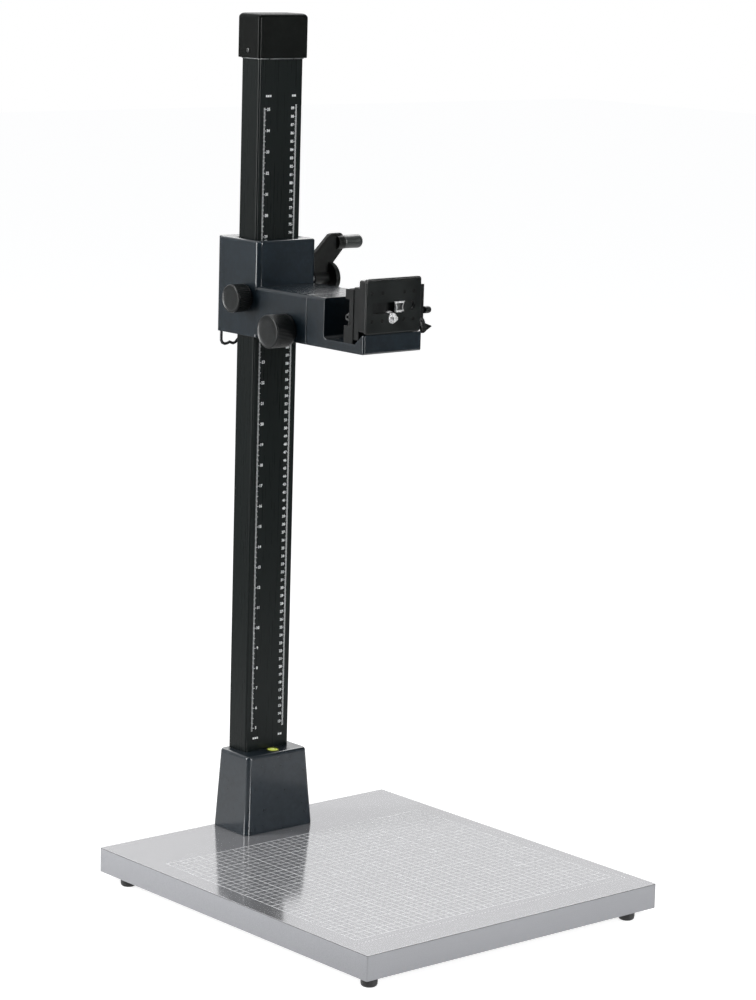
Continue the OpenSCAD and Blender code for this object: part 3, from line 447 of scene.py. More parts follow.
def turned(name, profile, material, place, steps=64, ribs=0, depth=0.0, rib_span=None, angle=30):
    """A turned piece from a profile of (radius, height) points.

    Ribs are cut to depth where the height and radius are inside rib_span, which is
    (lowest height, highest height, smallest radius).
    """
    verts, faces = [], []
    rows = len(profile)
    for i in range(steps):
        a = 2 * math.pi * i / steps
        for r, h in profile:
            if ribs and rib_span[0] <= h <= rib_span[1] and r > rib_span[2]:
                wave = 0.5 + 0.5 * math.cos(a * ribs)
                r = r - depth * (1 - wave ** 0.6)
            verts.append(place @ Vector((r * math.cos(a) * MM, r * math.sin(a) * MM, h * MM)))
    for i in range(steps):
        j = (i + 1) % steps
        for k in range(rows - 1):
            faces.append((i * rows + k, j * rows + k, j * rows + k + 1, i * rows + k + 1))
    return mesh_from(name, verts, faces, material, angle, merge=1e-7)


def axis_place(x, y, z, axis):
    """A frame at (x, y, z) whose local Z points along axis."""
    turn = Vector(UP).rotation_difference(Vector(axis)).to_matrix().to_4x4()
    return Matrix.Translation(Vector((x, y, z)) * MM) @ turn


def boxes(name, items, material, body, slot):
    """Many thin boxes in one mesh; each item is (x0, y0, z0, x1, y1, z1)."""
    verts, faces = [], []
    for x0, y0, z0, x1, y1, z1 in items:
        b = len(verts)
        corners = (x0, y0), (x1, y0), (x1, y1), (x0, y1)
        verts += [(x * MM, y * MM, z * MM) for z in (z0, z1) for x, y in corners]
        faces += [tuple(b + i for i in f) for f in (
            (3, 2, 1, 0), (4, 5, 6, 7), (0, 1, 5, 4), (1, 2, 6, 5), (2, 3, 7, 6), (3, 0, 4, 7))]
    mesh = bpy.data.meshes.new(name)
    mesh.from_pydata(verts, [], faces)
    mesh.update()
    return give(add_object(name, mesh, material), body, slot)


def words(name, entries, size, material, body, slot, heavy):
    """Plain numbers as one mesh, facing -Y. Each entry is (text, x, y, z); the heavy ones are bolder."""
    bm = bmesh.new()
    for text, x, y, z in entries:
        curve = bpy.data.curves.new("number", "FONT")
        curve.body = text
        curve.size = size * MM
        curve.align_x = "CENTER"
        curve.align_y = "CENTER"
        curve.extrude = 0.01 * MM
        curve.offset = (0.2 if text in heavy else 0.14) * MM
        curve.resolution_u = 3
        holder = bpy.data.objects.new("number", curve)
        bpy.context.scene.collection.objects.link(holder)
        bpy.context.view_layer.update()
        mesh = bpy.data.meshes.new_from_object(holder)
        mesh.transform(Matrix.Translation((x * MM, y * MM, z * MM)) @ Matrix.Rotation(math.pi / 2, 4, "X"))
        bm.from_mesh(mesh)
        bpy.data.objects.remove(holder)
        bpy.data.meshes.remove(mesh)
        bpy.data.curves.remove(curve)
    return give(add_object(name, to_mesh(bm, name), material), body, slot)


# ---------- Baseboard ----------

BOARD_Z, SHEET_LOW, CORE_LOW, BANDS_LOW = 40.0, 39.5, 39.0, 10.0
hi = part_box("board_laminate")[1]
half_w, half_d = hi.x / MM, hi.y / MM


def board_ring(inset, z):
    """The board's outline, inset from its edge."""
    return rounded_rect(2 * half_w - 2 * inset, 2 * half_d - 2 * inset, 1.2, per_corner=3), z


sheet_rings = [board_ring(inset, z) for inset, z in (
    (0.3, SHEET_LOW), (0.0, SHEET_LOW), (0.0, 39.8), (0.05, 39.92), (0.12, 39.98), (0.25, BOARD_Z))]
sheet = loft("laminate_sheet", sheet_rings, M["grid_laminate"], close=(False, True))
weigh(give(sheet, "stand", "grid_laminate", "board_laminate"))
core_rings = [board_ring(0.05, CORE_LOW), board_ring(0.05, SHEET_LOW)]
core = loft("laminate_core", core_rings, LAMINATE_CORE, close=(True, False))
give(core, "stand", "grid_laminate")


def band_outline(inset, depth=0.35):
    """The board's outline with a fine upright joint near each corner of the front and back strips."""
    x, y, r = half_w - inset, half_d - inset, 0.9
    joint, joint_w = x - 1.5, 0.3
    turns = (0, math.pi / 6, math.pi / 3, math.pi / 2)
    quarter = [(x - r + r * math.cos(a), y - r + r * math.sin(a)) for a in turns]
    pts = []
    for sy in (1, -1):
        row = quarter + [(joint, y), (joint, y - depth), (joint - joint_w, y - depth), (joint - joint_w, y)]
        row += [(-px, py) for px, py in reversed(row)]
        pts += [(px * sy, py * sy) for px, py in row]
    return pts


band_rings = [(band_outline(1.1, 0.1), BANDS_LOW)]
for inset, z in ((0.5, BANDS_LOW), (0.12, 10.15), (0.0, 10.5), (0.0, 38.75), (0.3, CORE_LOW)):
    band_rings.append((band_outline(inset), z))
band_rings.append((band_outline(1.1, 0.1), CORE_LOW))
bands = loft("edge_banding", band_rings, M["board_side"], close=(False, False))
give(bands, "stand", "board_side", "edge_bands")

# The printed grid: a line each centimetre and a bolder one each fifth
THIN_HALF, BOLD_HALF = 0.31, 0.475
PRINT_LOW, PRINT_HIGH = BOARD_Z - 0.05, BOARD_Z + 0.02
grid_x, grid_y = range(-200, 201, 10), range(-200, 151, 10)
grid = []
for x in grid_x:
    half = THIN_HALF if x % 50 else BOLD_HALF
    grid.append((x - half, grid_y[0], PRINT_LOW, x + half, grid_y[-1], PRINT_HIGH))
for y in grid_y:
    half = THIN_HALF if y % 50 else BOLD_HALF
    grid.append((grid_x[0], y - half, PRINT_LOW, grid_x[-1], y + half, PRINT_HIGH + 0.002))
boxes("printed_grid", grid, GRID_INK, "stand", "grid_laminate")

# A dashed border at the front and the right
BORDER, BORDER_HALF, DASH_HALF = 212, 0.3, 1.2
dashes = [(x - DASH_HALF, -BORDER - BORDER_HALF, PRINT_LOW, x + DASH_HALF, BORDER_HALF - BORDER, PRINT_HIGH)
          for x in range(-210, 211, 5)]
dashes += [(BORDER - BORDER_HALF, y - DASH_HALF, PRINT_LOW, BORDER + BORDER_HALF, y + DASH_HALF, PRINT_HIGH)
           for y in range(-210, 166, 5)]
boxes("printed_border", dashes, GRID_INK, "stand", "grid_laminate")

FOOT_PLACES = ((-211.5, -238.5), (189, -238.5), (-211.5, 210), (189, 210))
for i, (x, y) in enumerate(FOOT_PLACES):
    foot = turned(f"foot_pad_{i + 1}", [
        (5.1, 5.0), (5.1, 0.6), (5.6, 0.1), (6.4, 0.0), (7.4, 0.2), (8.4, 0.8), (9.1, 1.7), (9.5, 2.9),
        (9.65, 4.5), (9.7, 6.5), (9.72, 8.2), (9.45, 8.6), (9.45, 9.0), (9.75, 9.3), (9.75, 10.0)],
        M["black_rubber"], axis_place(x, y, 0, UP), 56)
    give(foot, "stand", "black_rubber", *(("rubber_feet",) if i == 0 else ()))


# ---------- Column foot ----------

COLUMN_Y, COLUMN_W, COLUMN_D = 229, 67, 34


def round_column(grow, corner, per_corner=8):
    """A rounded outline about the column's axis, wider and deeper than the column by grow."""
    return rounded_rect(COLUMN_W + grow, COLUMN_D + grow, corner, 0, COLUMN_Y, per_corner)


FOOT_FRONT, FOOT_BACK, FOOT_W, FOOT_H = 183.0, 250.0, 106, 98.0
FOOT_LEAN, FOOT_LEAN_BACK, FOOT_CORNER = 6.5, 2.0, 5.5
SHOULDER = 0.955  # the part of the height where the top edge starts to round


def foot_ring(lean, lean_back, corner, part, chamfer=0.0):
    """The foot's outline at a part of its height, where its sides have leant in so far."""
    front, back = FOOT_FRONT + lean + chamfer / 2, FOOT_BACK - lean_back - chamfer / 2
    outline = rounded_rect(FOOT_W - 2 * lean - chamfer, back - front, corner, 0, (front + back) / 2)
    return outline, BOARD_Z + FOOT_H * part


foot_rings = []
for part, chamfer in ((0.0, 1.0), (0.004, 0.35), (0.012, 0), (0.25, 0), (0.5, 0), (0.75, 0), (SHOULDER, 0)):
    done = part / SHOULDER
    foot_rings.append(foot_ring(FOOT_LEAN * done, FOOT_LEAN_BACK * done, FOOT_CORNER, part, chamfer))
for angle in (15, 30, 45, 60, 75, 90):
    rise, inward = math.sin(math.radians(angle)), 1 - math.cos(math.radians(angle))
    foot_rings.append(foot_ring(FOOT_LEAN + 3.2 * inward, FOOT_LEAN_BACK + inward, FOOT_CORNER - 2.0 * inward,
                                SHOULDER + (1 - SHOULDER) * rise))
for grow, corner, drop in ((0.9, 3.3, 0), (0.2, 3.1, 0.5), (0.2, 3.1, 18)):
    foot_rings.append((round_column(grow, corner), BOARD_Z + FOOT_H - drop))
block = loft("foot_casting", foot_rings, M["grey_cast_metal"], 40, (True, False))
weigh(give(block, "stand", "grey_cast_metal", "column_foot"))

# Round bubble level in the foot's top, in front of the column
LEVEL = (3.0, 203.6, 138.0)
level_place = axis_place(*LEVEL, UP)
rim = turned("level_ring", [
    (6.5, -2.0), (6.5, 0.35), (6.7, 0.55), (7.2, 0.62), (7.8, 0.5), (8.0, 0.2), (8.0, -2.0)],
    M["level_rim"], level_place)
give(rim, "stand", "level_rim", "level_cup")
# The lens shows the level's liquid with a faint glow of painted light
lens = turned("level_lens", [
    (6.52, -2.0), (6.52, 0.0), (6.0, 0.28), (4.8, 0.5), (3.0, 0.62), (1.2, 0.66), (0.0, 0.67)],
    M["level_fluid"], level_place)
give(lens, "stand", "level_fluid", "level_vial")
ring = turned("level_mark", [
    (3.5, 0.60), (3.5, 0.64), (3.9, 0.62), (3.9, 0.56), (3.5, 0.60)], DARK_INK, level_place, 48)
give(ring, "stand", "level_fluid")
# The bubble glows faintly too: painted light
bubble = turned("level_bubble", [
    (0.0, 0.55), (1.1, 0.58), (1.7, 0.63), (1.5, 0.69), (0.9, 0.72), (0.0, 0.73)], PALE_GLOWING_FLUID,
    axis_place(LEVEL[0] + 0.4, LEVEL[1] + 0.3, LEVEL[2], UP), 40)
give(bubble, "stand", "level_fluid")


# ---------- Column, scales and cap ----------

COLUMN_LOW, COLUMN_TOP, COLUMN_BACK = 52.0, 1036.5, 246
GROOVE_HALF, GROOVE_FLOOR = 10, 244.4
profile = round_column(0, 2.2, 6)
# The first 7 points are one back corner and the next 7 the other, so the rear groove goes between them
profile[7:7] = [(GROOVE_HALF, COLUMN_BACK), (GROOVE_HALF, GROOVE_FLOOR), (-GROOVE_HALF, GROOVE_FLOOR),
                (-GROOVE_HALF, COLUMN_BACK)]
column = loft("column_extrusion", [(profile, COLUMN_LOW), (profile, COLUMN_TOP)], M["black_anodised"])
weigh(give(column, "stand", "black_anodised", "column"))

FACE_Y = 212.0
INK_Y = FACE_Y - 0.012
INCH = 25.4
CM_EDGE, INCH_EDGE = 25.2, -25.4  # where the two scales' ticks start, in X
CM_NUMBERS, INCH_NUMBERS = 18.8, -18.2  # the middles of their numbers


def stroke(x0, x1, z, half):
    """One printed stroke on the column's front."""
    return x0, INK_Y - 0.01, z - half, x1, FACE_Y + 0.05, z + half


ticks = []
for mm in range(125, 895):
    length = 3.6 if mm % 10 == 0 else (2.9 if mm % 5 == 0 else 2.2)
    ticks.append(stroke(CM_EDGE - length, CM_EDGE, BOARD_Z + mm, 0.21))
for k in range(int(4.9 * 16), int(35.1 * 16) + 1):
    length = 4.2 if k % 16 == 0 else (3.5 if k % 8 == 0 else (2.9 if k % 4 == 0 else 2.2))
    ticks.append(stroke(INCH_EDGE, INCH_EDGE + length, BOARD_Z + k * INCH / 16, 0.28))
boxes("scale_ticks", ticks, INK, "stand", "black_anodised")

tens = tuple(str(10 * k) for k in range(1, 10))
words("scale_numbers_cm", [(str(c), CM_NUMBERS, INK_Y, BOARD_Z + 10 * c) for c in range(13, 90)],
      4.6, INK, "stand", "black_anodised", tens)
words("scale_numbers_inch", [(str(c), INCH_NUMBERS, INK_Y, BOARD_Z + INCH * c) for c in range(5, 36)],
      4.8, INK, "stand", "black_anodised", tens)
# Unit marks over and under the scales: three short strokes on the left and two on the right
marks = []
for z in (BOARD_Z + 905, BOARD_Z + 114):
    marks += [stroke(-22.6 + 3.0 * k, -20.4 + 3.0 * k, z, 1.2) for k in range(3)]
    marks += [stroke(17.4 + 3.2 * k, 19.9 + 3.2 * k, z, 1.2) for k in range(2)]
boxes("scale_unit_marks", marks, INK, "stand", "black_anodised")

CAP_BASE, CAP_GROW, CAP_CORNER = 991.5, 8, 3.1
CAP_SIDES, CAP_ROUND = 45.4, 5.6  # the height of its straight sides, and of the rounded edge over them
cap_rings = [(round_column(0.4, CAP_CORNER), CAP_BASE + 10), (round_column(0.4, CAP_CORNER), CAP_BASE - 1.6)]
for inset, z in ((3.6, -1.8), (0.9, -1.8), (0.3, -1.6), (0.0, -1.1), (0.0, 12), (0.0, 30), (0.0, CAP_SIDES)):
    cap_rings.append((round_column(CAP_GROW - 2 * inset, CAP_CORNER - inset * 0.3), CAP_BASE + z))
for angle in (12, 24, 36, 48, 60, 72, 84, 90):
    rise, inward = math.sin(math.radians(angle)), 1 - math.cos(math.radians(angle))
    cap_rings.append((round_column(CAP_GROW - 2 * CAP_ROUND * inward, CAP_CORNER - 1.2 * inward),
                      CAP_BASE + CAP_SIDES + CAP_ROUND * rise))
cap = loft("top_cap", cap_rings, CAP_PLASTIC_AND_CUP_SHADE, 50, (False, True))
weigh(give(cap, "stand", "black_plastic", "column_cap"))

for side in (-1, 1):
    screw = turned(f"cap_screw_head_{'left' if side < 0 else 'right'}", [
        (1.5, -3.5), (1.5, 0.0), (2.9, 0.0), (2.95, 0.4), (2.7, 0.95), (2.0, 1.3), (1.5, 1.35), (1.2, 0.8),
        (0.0, 0.7)],
        DARK_STEEL_AND_SHADE, axis_place(side * (COLUMN_W + CAP_GROW) / 2, COLUMN_Y, CAP_BASE + 7, (side, 0, 0)), 40)
    give(screw, "stand", "bright_steel", *(("cap_screws",) if side < 0 else ()))

seam = [(round_column(grow, 2.9), CAP_BASE + z) for grow, z in ((0.6, -3.0), (2.2, -2.8), (2.2, -1.7))]
give(loft("cap_seam", seam, SEAM_METAL, 50, (False, False)), "stand", "black_plastic")


# ---------- Carriage ----------

CAR_W, CAR_D, CAR_Y, CAR_CORNER, CAR_BACK = 89, 81, 232.5, 6.0, 269.0
CAR_LOW, CAR_EDGE, CAR_ROUND = 658.0, 771.0, 3
BAR_LOW, BAR_TOP = 661, 720  # the arm and the camera head share one height and width


def car_ring(inset, z):
    """The carriage's outline, cut flat at the back where its cover lies."""
    pts = rounded_rect(CAR_W - 2 * inset, CAR_D - 2 * inset, CAR_CORNER - 0.6 * inset, 0, CAR_Y, 10)
    return [(x, min(y, CAR_BACK)) for x, y in pts], z


car_rings = [car_ring(inset, z) for inset, z in (
    (0.8, CAR_LOW), (0.3, 658.1), (0.08, 658.35), (0.0, 658.8), (0.0, CAR_EDGE))]
for angle in range(10, 91, 10):
    turn = math.radians(angle)
    car_rings.append(car_ring(CAR_ROUND - CAR_ROUND * math.cos(turn), CAR_EDGE + CAR_ROUND * math.sin(turn)))
casting = loft("carriage_casting", car_rings, M["grey_painted_metal"])
cut(casting, [
    (-36.5, 209, 640, 36.5, 249, 790),  # the column's passage
    (-36.5, 246, 665, 36.5, 280, 767),  # the chamber behind it
    (-10.8, 195.3, 714.8, 10.8, 215, 732.2),  # the drive roller's pocket
])
weigh(give(casting, "carriage", "grey_painted_metal", "carriage_housing"))


def bar_outline(inset):
    """The arm's cross-section, in X and Z."""
    x, z_low, z_high = CAR_W / 2 - inset, BAR_LOW + inset, BAR_TOP - inset
    top_r, low_r = 5.0, 1.0
    pts = []
    for cx, cz, r, a0 in ((x - top_r, z_high - top_r, top_r, 0), (top_r - x, z_high - top_r, top_r, 90),
                          (low_r - x, z_low + low_r, low_r, 180), (x - low_r, z_low + low_r, low_r, 270)):
        for i in range(9):
            a = math.radians(a0 + 90 * i / 8)
            pts.append((cx + r * math.cos(a), cz + r * math.sin(a)))
    return pts


arm_rings = [(bar_outline(inset), y) for inset, y in (
    (0.0, 198.0), (0.0, 100.9), (0.08, 100.4), (0.3, 100.1), (0.8, 100.0))]
# The arm takes the darker copy of the carriage's paint: painted shade
arm = loft("arm_casting", arm_rings, ARM_PAINT_SHADED, along_y=True)
cut(arm, [(-37.5, 158, 650, 37.5, 185, 713)])  # its hollow underside
weigh(give(arm, "carriage", "grey_painted_metal"))
soften("rear_cover", "rear_cover_plate", 0.8)


# ---------- Knobs ----------

KNOB_FACE = -44.9


def knob(name, node, body, y, z, radius, length, ribs, depth):
    """A ribbed knob on the left side, whose axis is at (y, z)."""
    profile = [(3.9, 0.0), (radius - 2.2, 0.0), (radius - 1.6, 0.25), (radius - 1.3, 1.0), (radius - 1.3, 2.0),
               (radius - 0.5, 2.6), (radius, 3.4)]
    rows = 8
    for k in range(1, rows + 1):
        profile.append((radius, 3.4 + (length - 3.4 - 2.2) * k / rows))
    profile += [(radius - 0.1, length - 1.4), (radius - 0.38, length - 0.75), (radius - 0.85, length - 0.25),
                (radius - 1.5, length), (radius - 2.1, length - 0.12), (radius - 2.6, length - 0.3),
                (radius * 0.6, length - 0.36), (0.0, length - 0.3)]
    piece = turned(name, profile, M["black_plastic"], axis_place(KNOB_FACE, y, z, LEFT), ribs * 8, ribs, depth,
                   rib_span=(3.0, length - 2.1, radius - 0.9), angle=40)
    give(piece, body, "black_plastic", node)


knob("clamp_knob_grip", "clamp_knob", "clamp", 136, 674, radius=20.0, length=29.5, ribs=72, depth=0.45)
knob("lock_knob_grip", "lock_knob", "lock", 217, 704, radius=17.0, length=22.2, ribs=40, depth=0.8)


# ---------- Crank ----------

soften("crank_arm", "crank_casting", 0.9)
HANDLE = (94.3, 204, 766)
grip = turned("crank_handle", [
    (2.6, 0.0), (7.4, 0.0), (7.9, 0.2), (8.3, 0.8), (8.38, 2.0), (8.2, 6.0), (8.15, 12.0), (8.25, 18.0),
    (8.4, 23.0), (8.35, 25.0), (8.0, 26.4), (7.2, 27.7), (5.9, 28.5), (4.0, 28.9), (0.0, 29.0)],
    M["dark_gloss_plastic"], axis_place(*HANDLE, RIGHT))
give(grip, "grip", "dark_gloss_plastic", "crank_grip")


# ---------- Camera head ----------

def head_casting():
    """The swivel block with its shelf.

    A side profile in Y and Z is extruded along X, and each edge is rounded to its own size.
    """
    front_y, back_y, wall_y, shelf_z, inner_r = -5, 99.7, 67, 672, 5
    side = [(back_y, BAR_LOW), (back_y, BAR_TOP), (wall_y, BAR_TOP)]
    for i in range(9):
        a = math.radians(90 * i / 8)
        side.append((wall_y - inner_r + inner_r * math.cos(a), shelf_z + inner_r - inner_r * math.sin(a)))
    side += [(12, shelf_z), (-1.5, 683.7), (front_y, 683.7), (front_y, 663), (-3, BAR_LOW)]
    half = CAR_W / 2
    bm = bmesh.new()
    left = [bm.verts.new((-half * MM, y * MM, z * MM)) for y, z in side]
    right = [bm.verts.new((half * MM, y * MM, z * MM)) for y, z in side]
    n = len(side)
    bm.faces.new(left)
    bm.faces.new(list(reversed(right)))
    for i in range(n):
        j = (i + 1) % n
        bm.faces.new((left[j], left[i], right[i], right[j]))
    bmesh.ops.recalc_face_normals(bm, faces=bm.faces)
    weight = bm.edges.layers.float.new("bevel_weight_edge")
    top_edge, front_edge, side_edge, cross_edge = 5.0, 3.0, 1.3, 0.7
    for e in bm.edges:
        a, b = (v.co / MM for v in e.verts)
        if abs(a.x - b.x) > 1:
            size = cross_edge if e.calc_face_angle(0) > math.radians(30) else 0.0
        elif min(a.z, b.z) > BAR_TOP - 1:
            size = top_edge
        elif max(a.y, b.y) < front_y + 0.01:
            size = front_edge
        else:
            size = side_edge
        e[weight] = size / top_edge
    # The head takes the arm's darker copy of the paint: painted shade
    obj = add_object("swivel_casting", to_mesh(bm, "swivel_casting"), ARM_PAINT_SHADED)
    bevel = obj.modifiers.new("Bevel", "BEVEL")
    bevel.width = top_edge * MM
    bevel.segments = 6
    bevel.limit_method = "WEIGHT"
    bake(obj)
    cut(obj, [("z", x, 26, 650, 665, 4.2) for x in (-24, 24)])  # round the heads of the bracket's screws
    weigh(give(obj, "head", "grey_painted_metal", "swivel_head"))


head_casting()
soften("bracket", "camera_bracket", 0.9, material=CLAMP_BLACK)
soften("spacer_block", "spacer_casting", 0.8, material=CLAMP_BLACK)
soften("clamp_bed", "clamp_body", 0.8, material=CLAMP_BLACK)

LEVER_X, LEVER_Z = 48.5, 695.0
blade_y0, blade_y1 = (v.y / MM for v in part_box("release_lever"))
blade = [(-3.2, 1.8), (-2.2, 3.4), (-0.4, 4.2), (1.6, 3.8), (3.2, 2.2), (5.4, -3.0), (15.2, -6.6), (15.4, -7.6),
         (8.6, -11.2), (4.6, -14.0), (3.6, -14.4), (0.8, -14.6), (-0.2, -13.8), (-3.0, -3.2), (-3.7, -0.6)]


def blade_ring(scale, y):
    """The lever's outline about its pin, scaled about a point near its middle."""
    return [(LEVER_X + 4 + (x - 4) * scale, LEVER_Z - 5 + (z + 5) * scale) for x, z in blade], y


blade_rings = [blade_ring(0.95, blade_y0), blade_ring(1.0, blade_y0 + 0.4), blade_ring(1.0, blade_y1 - 0.4),
               blade_ring(0.95, blade_y1)]
lever = loft("lever_blade", blade_rings, M["dark_cast_metal"], 40, along_y=True)
give(lever, "lever", "dark_cast_metal", "release_lever")

soften("camera_plate", "plate_body", 0.7)
PAD_W, PAD_H, PAD_X, PAD_Z = 84.4, 62.6, -1.0, 716.5
pad_rings = []
for inset, y in ((0.3, -4.41), (0.0, -4.6), (0.0, -4.75), (0.08, -5.1), (0.3, -5.45), (0.65, -5.7), (1.1, -5.8)):
    pad_rings.append((rounded_rect(PAD_W - 2 * inset, PAD_H - 2 * inset, 3.4 - 0.7 * inset, PAD_X, PAD_Z), y))
pad = loft("plate_cushion", pad_rings, M["grey_rubber"], 50, along_y=True)
cut(pad, [
    (-33, -12, 708.25, 14, 3, 720.75),  # the stop's slot
    ("y", -2, 702, -9, 3, 6.6),  # round the camera screw
    ("y", 26, 715.5, -9, 3, 5.8),  # the round opening beside the slot
])
weigh(give(pad, "plate", "grey_rubber", "plate_pad"))
soften("under_knob", "thumb_screw", 0.5)
soften("camera_screw", "tripod_screw", 0.3, 2)
BUTTON = (38, 5.3, 707)
button = turned("push_button", [
    (0.0, 0.0), (1.3, 0.0), (1.3, 17.6), (3.9, 17.7), (4.25, 18.1), (4.3, 19.0), (4.3, 23.6), (4.15, 25.0),
    (3.7, 26.2), (2.9, 27.0), (1.6, 27.5), (0.0, 27.6)],
    M["black_plastic"], axis_place(*BUTTON, RIGHT), 40)
give(button, "button", "black_plastic", "safety_button")
soften("side_screws", "side_screw_heads", 0.25, 2, DARK_STEEL_AND_SHADE)
soften("crank_screw", "crank_screw_head", 0.3, 2, DARK_STEEL_AND_SHADE)

# The stop in the plate's slot: a waisted steel clip with a raised rim round a web in dark steel, painted shade
# in the recess inside the rim
CLIP_X, CLIP_Z, CLIP_Y = 7.0, 715.0, -5.9
rim_out = [(-8, 6.5), (8, 6.5), (5.2, 1), (5.2, -2), (7, -5.5), (-7, -5.5), (-5.2, -2), (-5.2, 1)]
rim_in = [(-5.9, 4.2), (5.9, 4.2), (4.0, 0.8), (4.0, -1.8), (4.8, -3.9), (-4.8, -3.9), (-4.0, -1.8),
          (-4.0, 0.8)]


def clip_ring(outline, grow, out):
    """One of the clip's outlines, scaled about the clip's centre and moved out from the plate."""
    return [(CLIP_X + x * grow, CLIP_Z + z * grow) for x, z in outline], CLIP_Y - out


clip = loft("stop_clip", [
    clip_ring(rim_out, 0.97, 0.0), clip_ring(rim_out, 1.0, 0.2), clip_ring(rim_out, 1.0, 1.35),
    clip_ring(rim_out, 0.95, 1.7), clip_ring(rim_in, 1.05, 1.7), clip_ring(rim_in, 1.0, 0.8)],
    M["bright_steel"], 50, along_y=True)
give(clip, "stop", "bright_steel", "slot_stop")
# The web is the clip's bright steel darkened: painted shade
web = loft("stop_web", [
    clip_ring(rim_in, 0.99, 0.75), clip_ring(rim_in, 0.99, 0.95), clip_ring(rim_in, 0.9, 1.05)],
    DARK_STEEL_AND_SHADE, 50, along_y=True)
give(web, "stop", "bright_steel")
boxes("stop_tongue", [(CLIP_X - 4, -6.8, 708.55, CLIP_X + 4, -2.5, 720.45)], M["bright_steel"], "stop",
      "bright_steel")

# Moulded cups on the plate's pad, in the dull near-black cap plastic: painted shade that makes them read as dark
# dimples
pad_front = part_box("plate_pad")[0].y / MM
CUP_ROWS, CUP_COLUMNS = (699.5, 732.0), (-34, -18, 15, 29.5)
for row, cup_z in enumerate(CUP_ROWS):
    for col, cup_x in enumerate(CUP_COLUMNS):
        cup = turned(f"pad_cup_{row + 1}{col + 1}", [
            (0.0, 0.03), (1.4, 0.04), (1.6, 0.12), (1.75, 0.24), (1.95, 0.26), (2.25, 0.18), (2.4, -0.05)],
            CAP_PLASTIC_AND_CUP_SHADE, axis_place(cup_x, pad_front, cup_z, FORWARD), 32)
        give(cup, "plate", "grey_rubber")


# ---------- Everything that keeps its CAD solid ----------

for n, obj in nodes.items():
    if obj.hide_render:
        continue
    obj.data.materials.clear()
    obj.data.materials.append(DARK_STEEL_AND_SHADE if n == "lever_pin" else M[slot_of[n]])

# The spring band stretches between its anchor and the drum; these lengths are in metres
lo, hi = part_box("spring_band")
band_verts, band_faces = [], []
steps = 60
for i in range(steps + 1):
    z = lo.z + (hi.z - lo.z) * i / steps
    for x, y in ((lo.x, lo.y), (hi.x, lo.y), (hi.x, hi.y), (lo.x, hi.y)):
        band_verts.append((x, y, z))
for i in range(steps):
    for k in range(4):
        m = (k + 1) % 4
        band_faces.append((4 * i + k, 4 * i + m, 4 * i + 4 + m, 4 * i + 4 + k))
band_faces += [(3, 2, 1, 0), tuple(4 * steps + k for k in range(4))]
band = mesh_from("spring_strip", band_verts, band_faces, M["spring_steel"])
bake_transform(band)
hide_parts("spring_band")


# ---------- Floor, light and camera, in metres ----------

def wire(t, kind, inputs, out=0, **settings):
    """Adds a node, links or sets its inputs by name or number, and returns one of its outputs."""
    n = t.nodes.new(kind)
    for key, value in settings.items():
        setattr(n, key, value)
    for key, value in inputs.items():
        if isinstance(value, bpy.types.NodeSocket):
            t.links.new(value, n.inputs[key])
        else:
            n.inputs[key].default_value = value
    return n.outputs[out]


def calc(t, operation, *values):
    return wire(t, "ShaderNodeMath", dict(enumerate(values)), operation=operation)


def dot(t, vector, axis):
    return wire(t, "ShaderNodeVectorMath", {0: vector, 1: axis}, "Value", operation="DOT_PRODUCT")


def ramp(t, value, from_low, from_high, to_low, to_high):
    return wire(t, "ShaderNodeMapRange", {
        "Value": value, "From Min": from_low, "From Max": from_high, "To Min": to_low, "To Max": to_high})


def studio_glow(t, vector):
    """What gloss sees of the studio: a white backdrop behind and above, dark towards the front."""
    backdrop = (0.281, 0.778, 0.562)
    near_it = ramp(t, dot(t, vector, backdrop), -0.2, 0.86, 0.0, 1.0)
    return calc(t, "MAXIMUM", calc(t, "POWER", near_it, 2.6), 0.08)


def light_patch(t, vector, azimuth, elevation, width, height, strength):
    """A soft-edged light that only gloss sees; its centre, width and height are in degrees."""
    a, e = math.radians(azimuth), math.radians(elevation)
    across = (-math.sin(a), math.cos(a), 0)
    upward = (-math.sin(e) * math.cos(a), -math.sin(e) * math.sin(a), math.cos(e))
    ahead = (math.cos(e) * math.cos(a), math.cos(e) * math.sin(a), math.sin(e))
    inside = []
    for axis, size in ((across, width), (upward, height)):
        half = math.radians(size / 2)
        off_centre = calc(t, "ABSOLUTE", dot(t, vector, axis))
        inside.append(ramp(t, off_centre, math.sin(half * 1.2), math.sin(half * 0.8), 0.0, 1.0))
    facing = ramp(t, dot(t, vector, ahead), 0.0, 0.2, 0.0, strength)
    return calc(t, "MULTIPLY", calc(t, "MULTIPLY", *inside), facing)


def mixed(t, fac, a, b):
    return wire(t, "ShaderNodeMixShader", {0: fac, 1: a, 2: b})


def by_ray(t, camera, gloss, light):
    """One shader for camera rays, one for glossy and transmitted rays, and one for all other light."""
    path = t.nodes.new("ShaderNodeLightPath").outputs
    glossy_or_clear = calc(t, "MAXIMUM", path["Is Glossy Ray"], path["Is Transmission Ray"])
    return mixed(t, path["Is Camera Ray"], mixed(t, glossy_or_clear, light, gloss), camera)


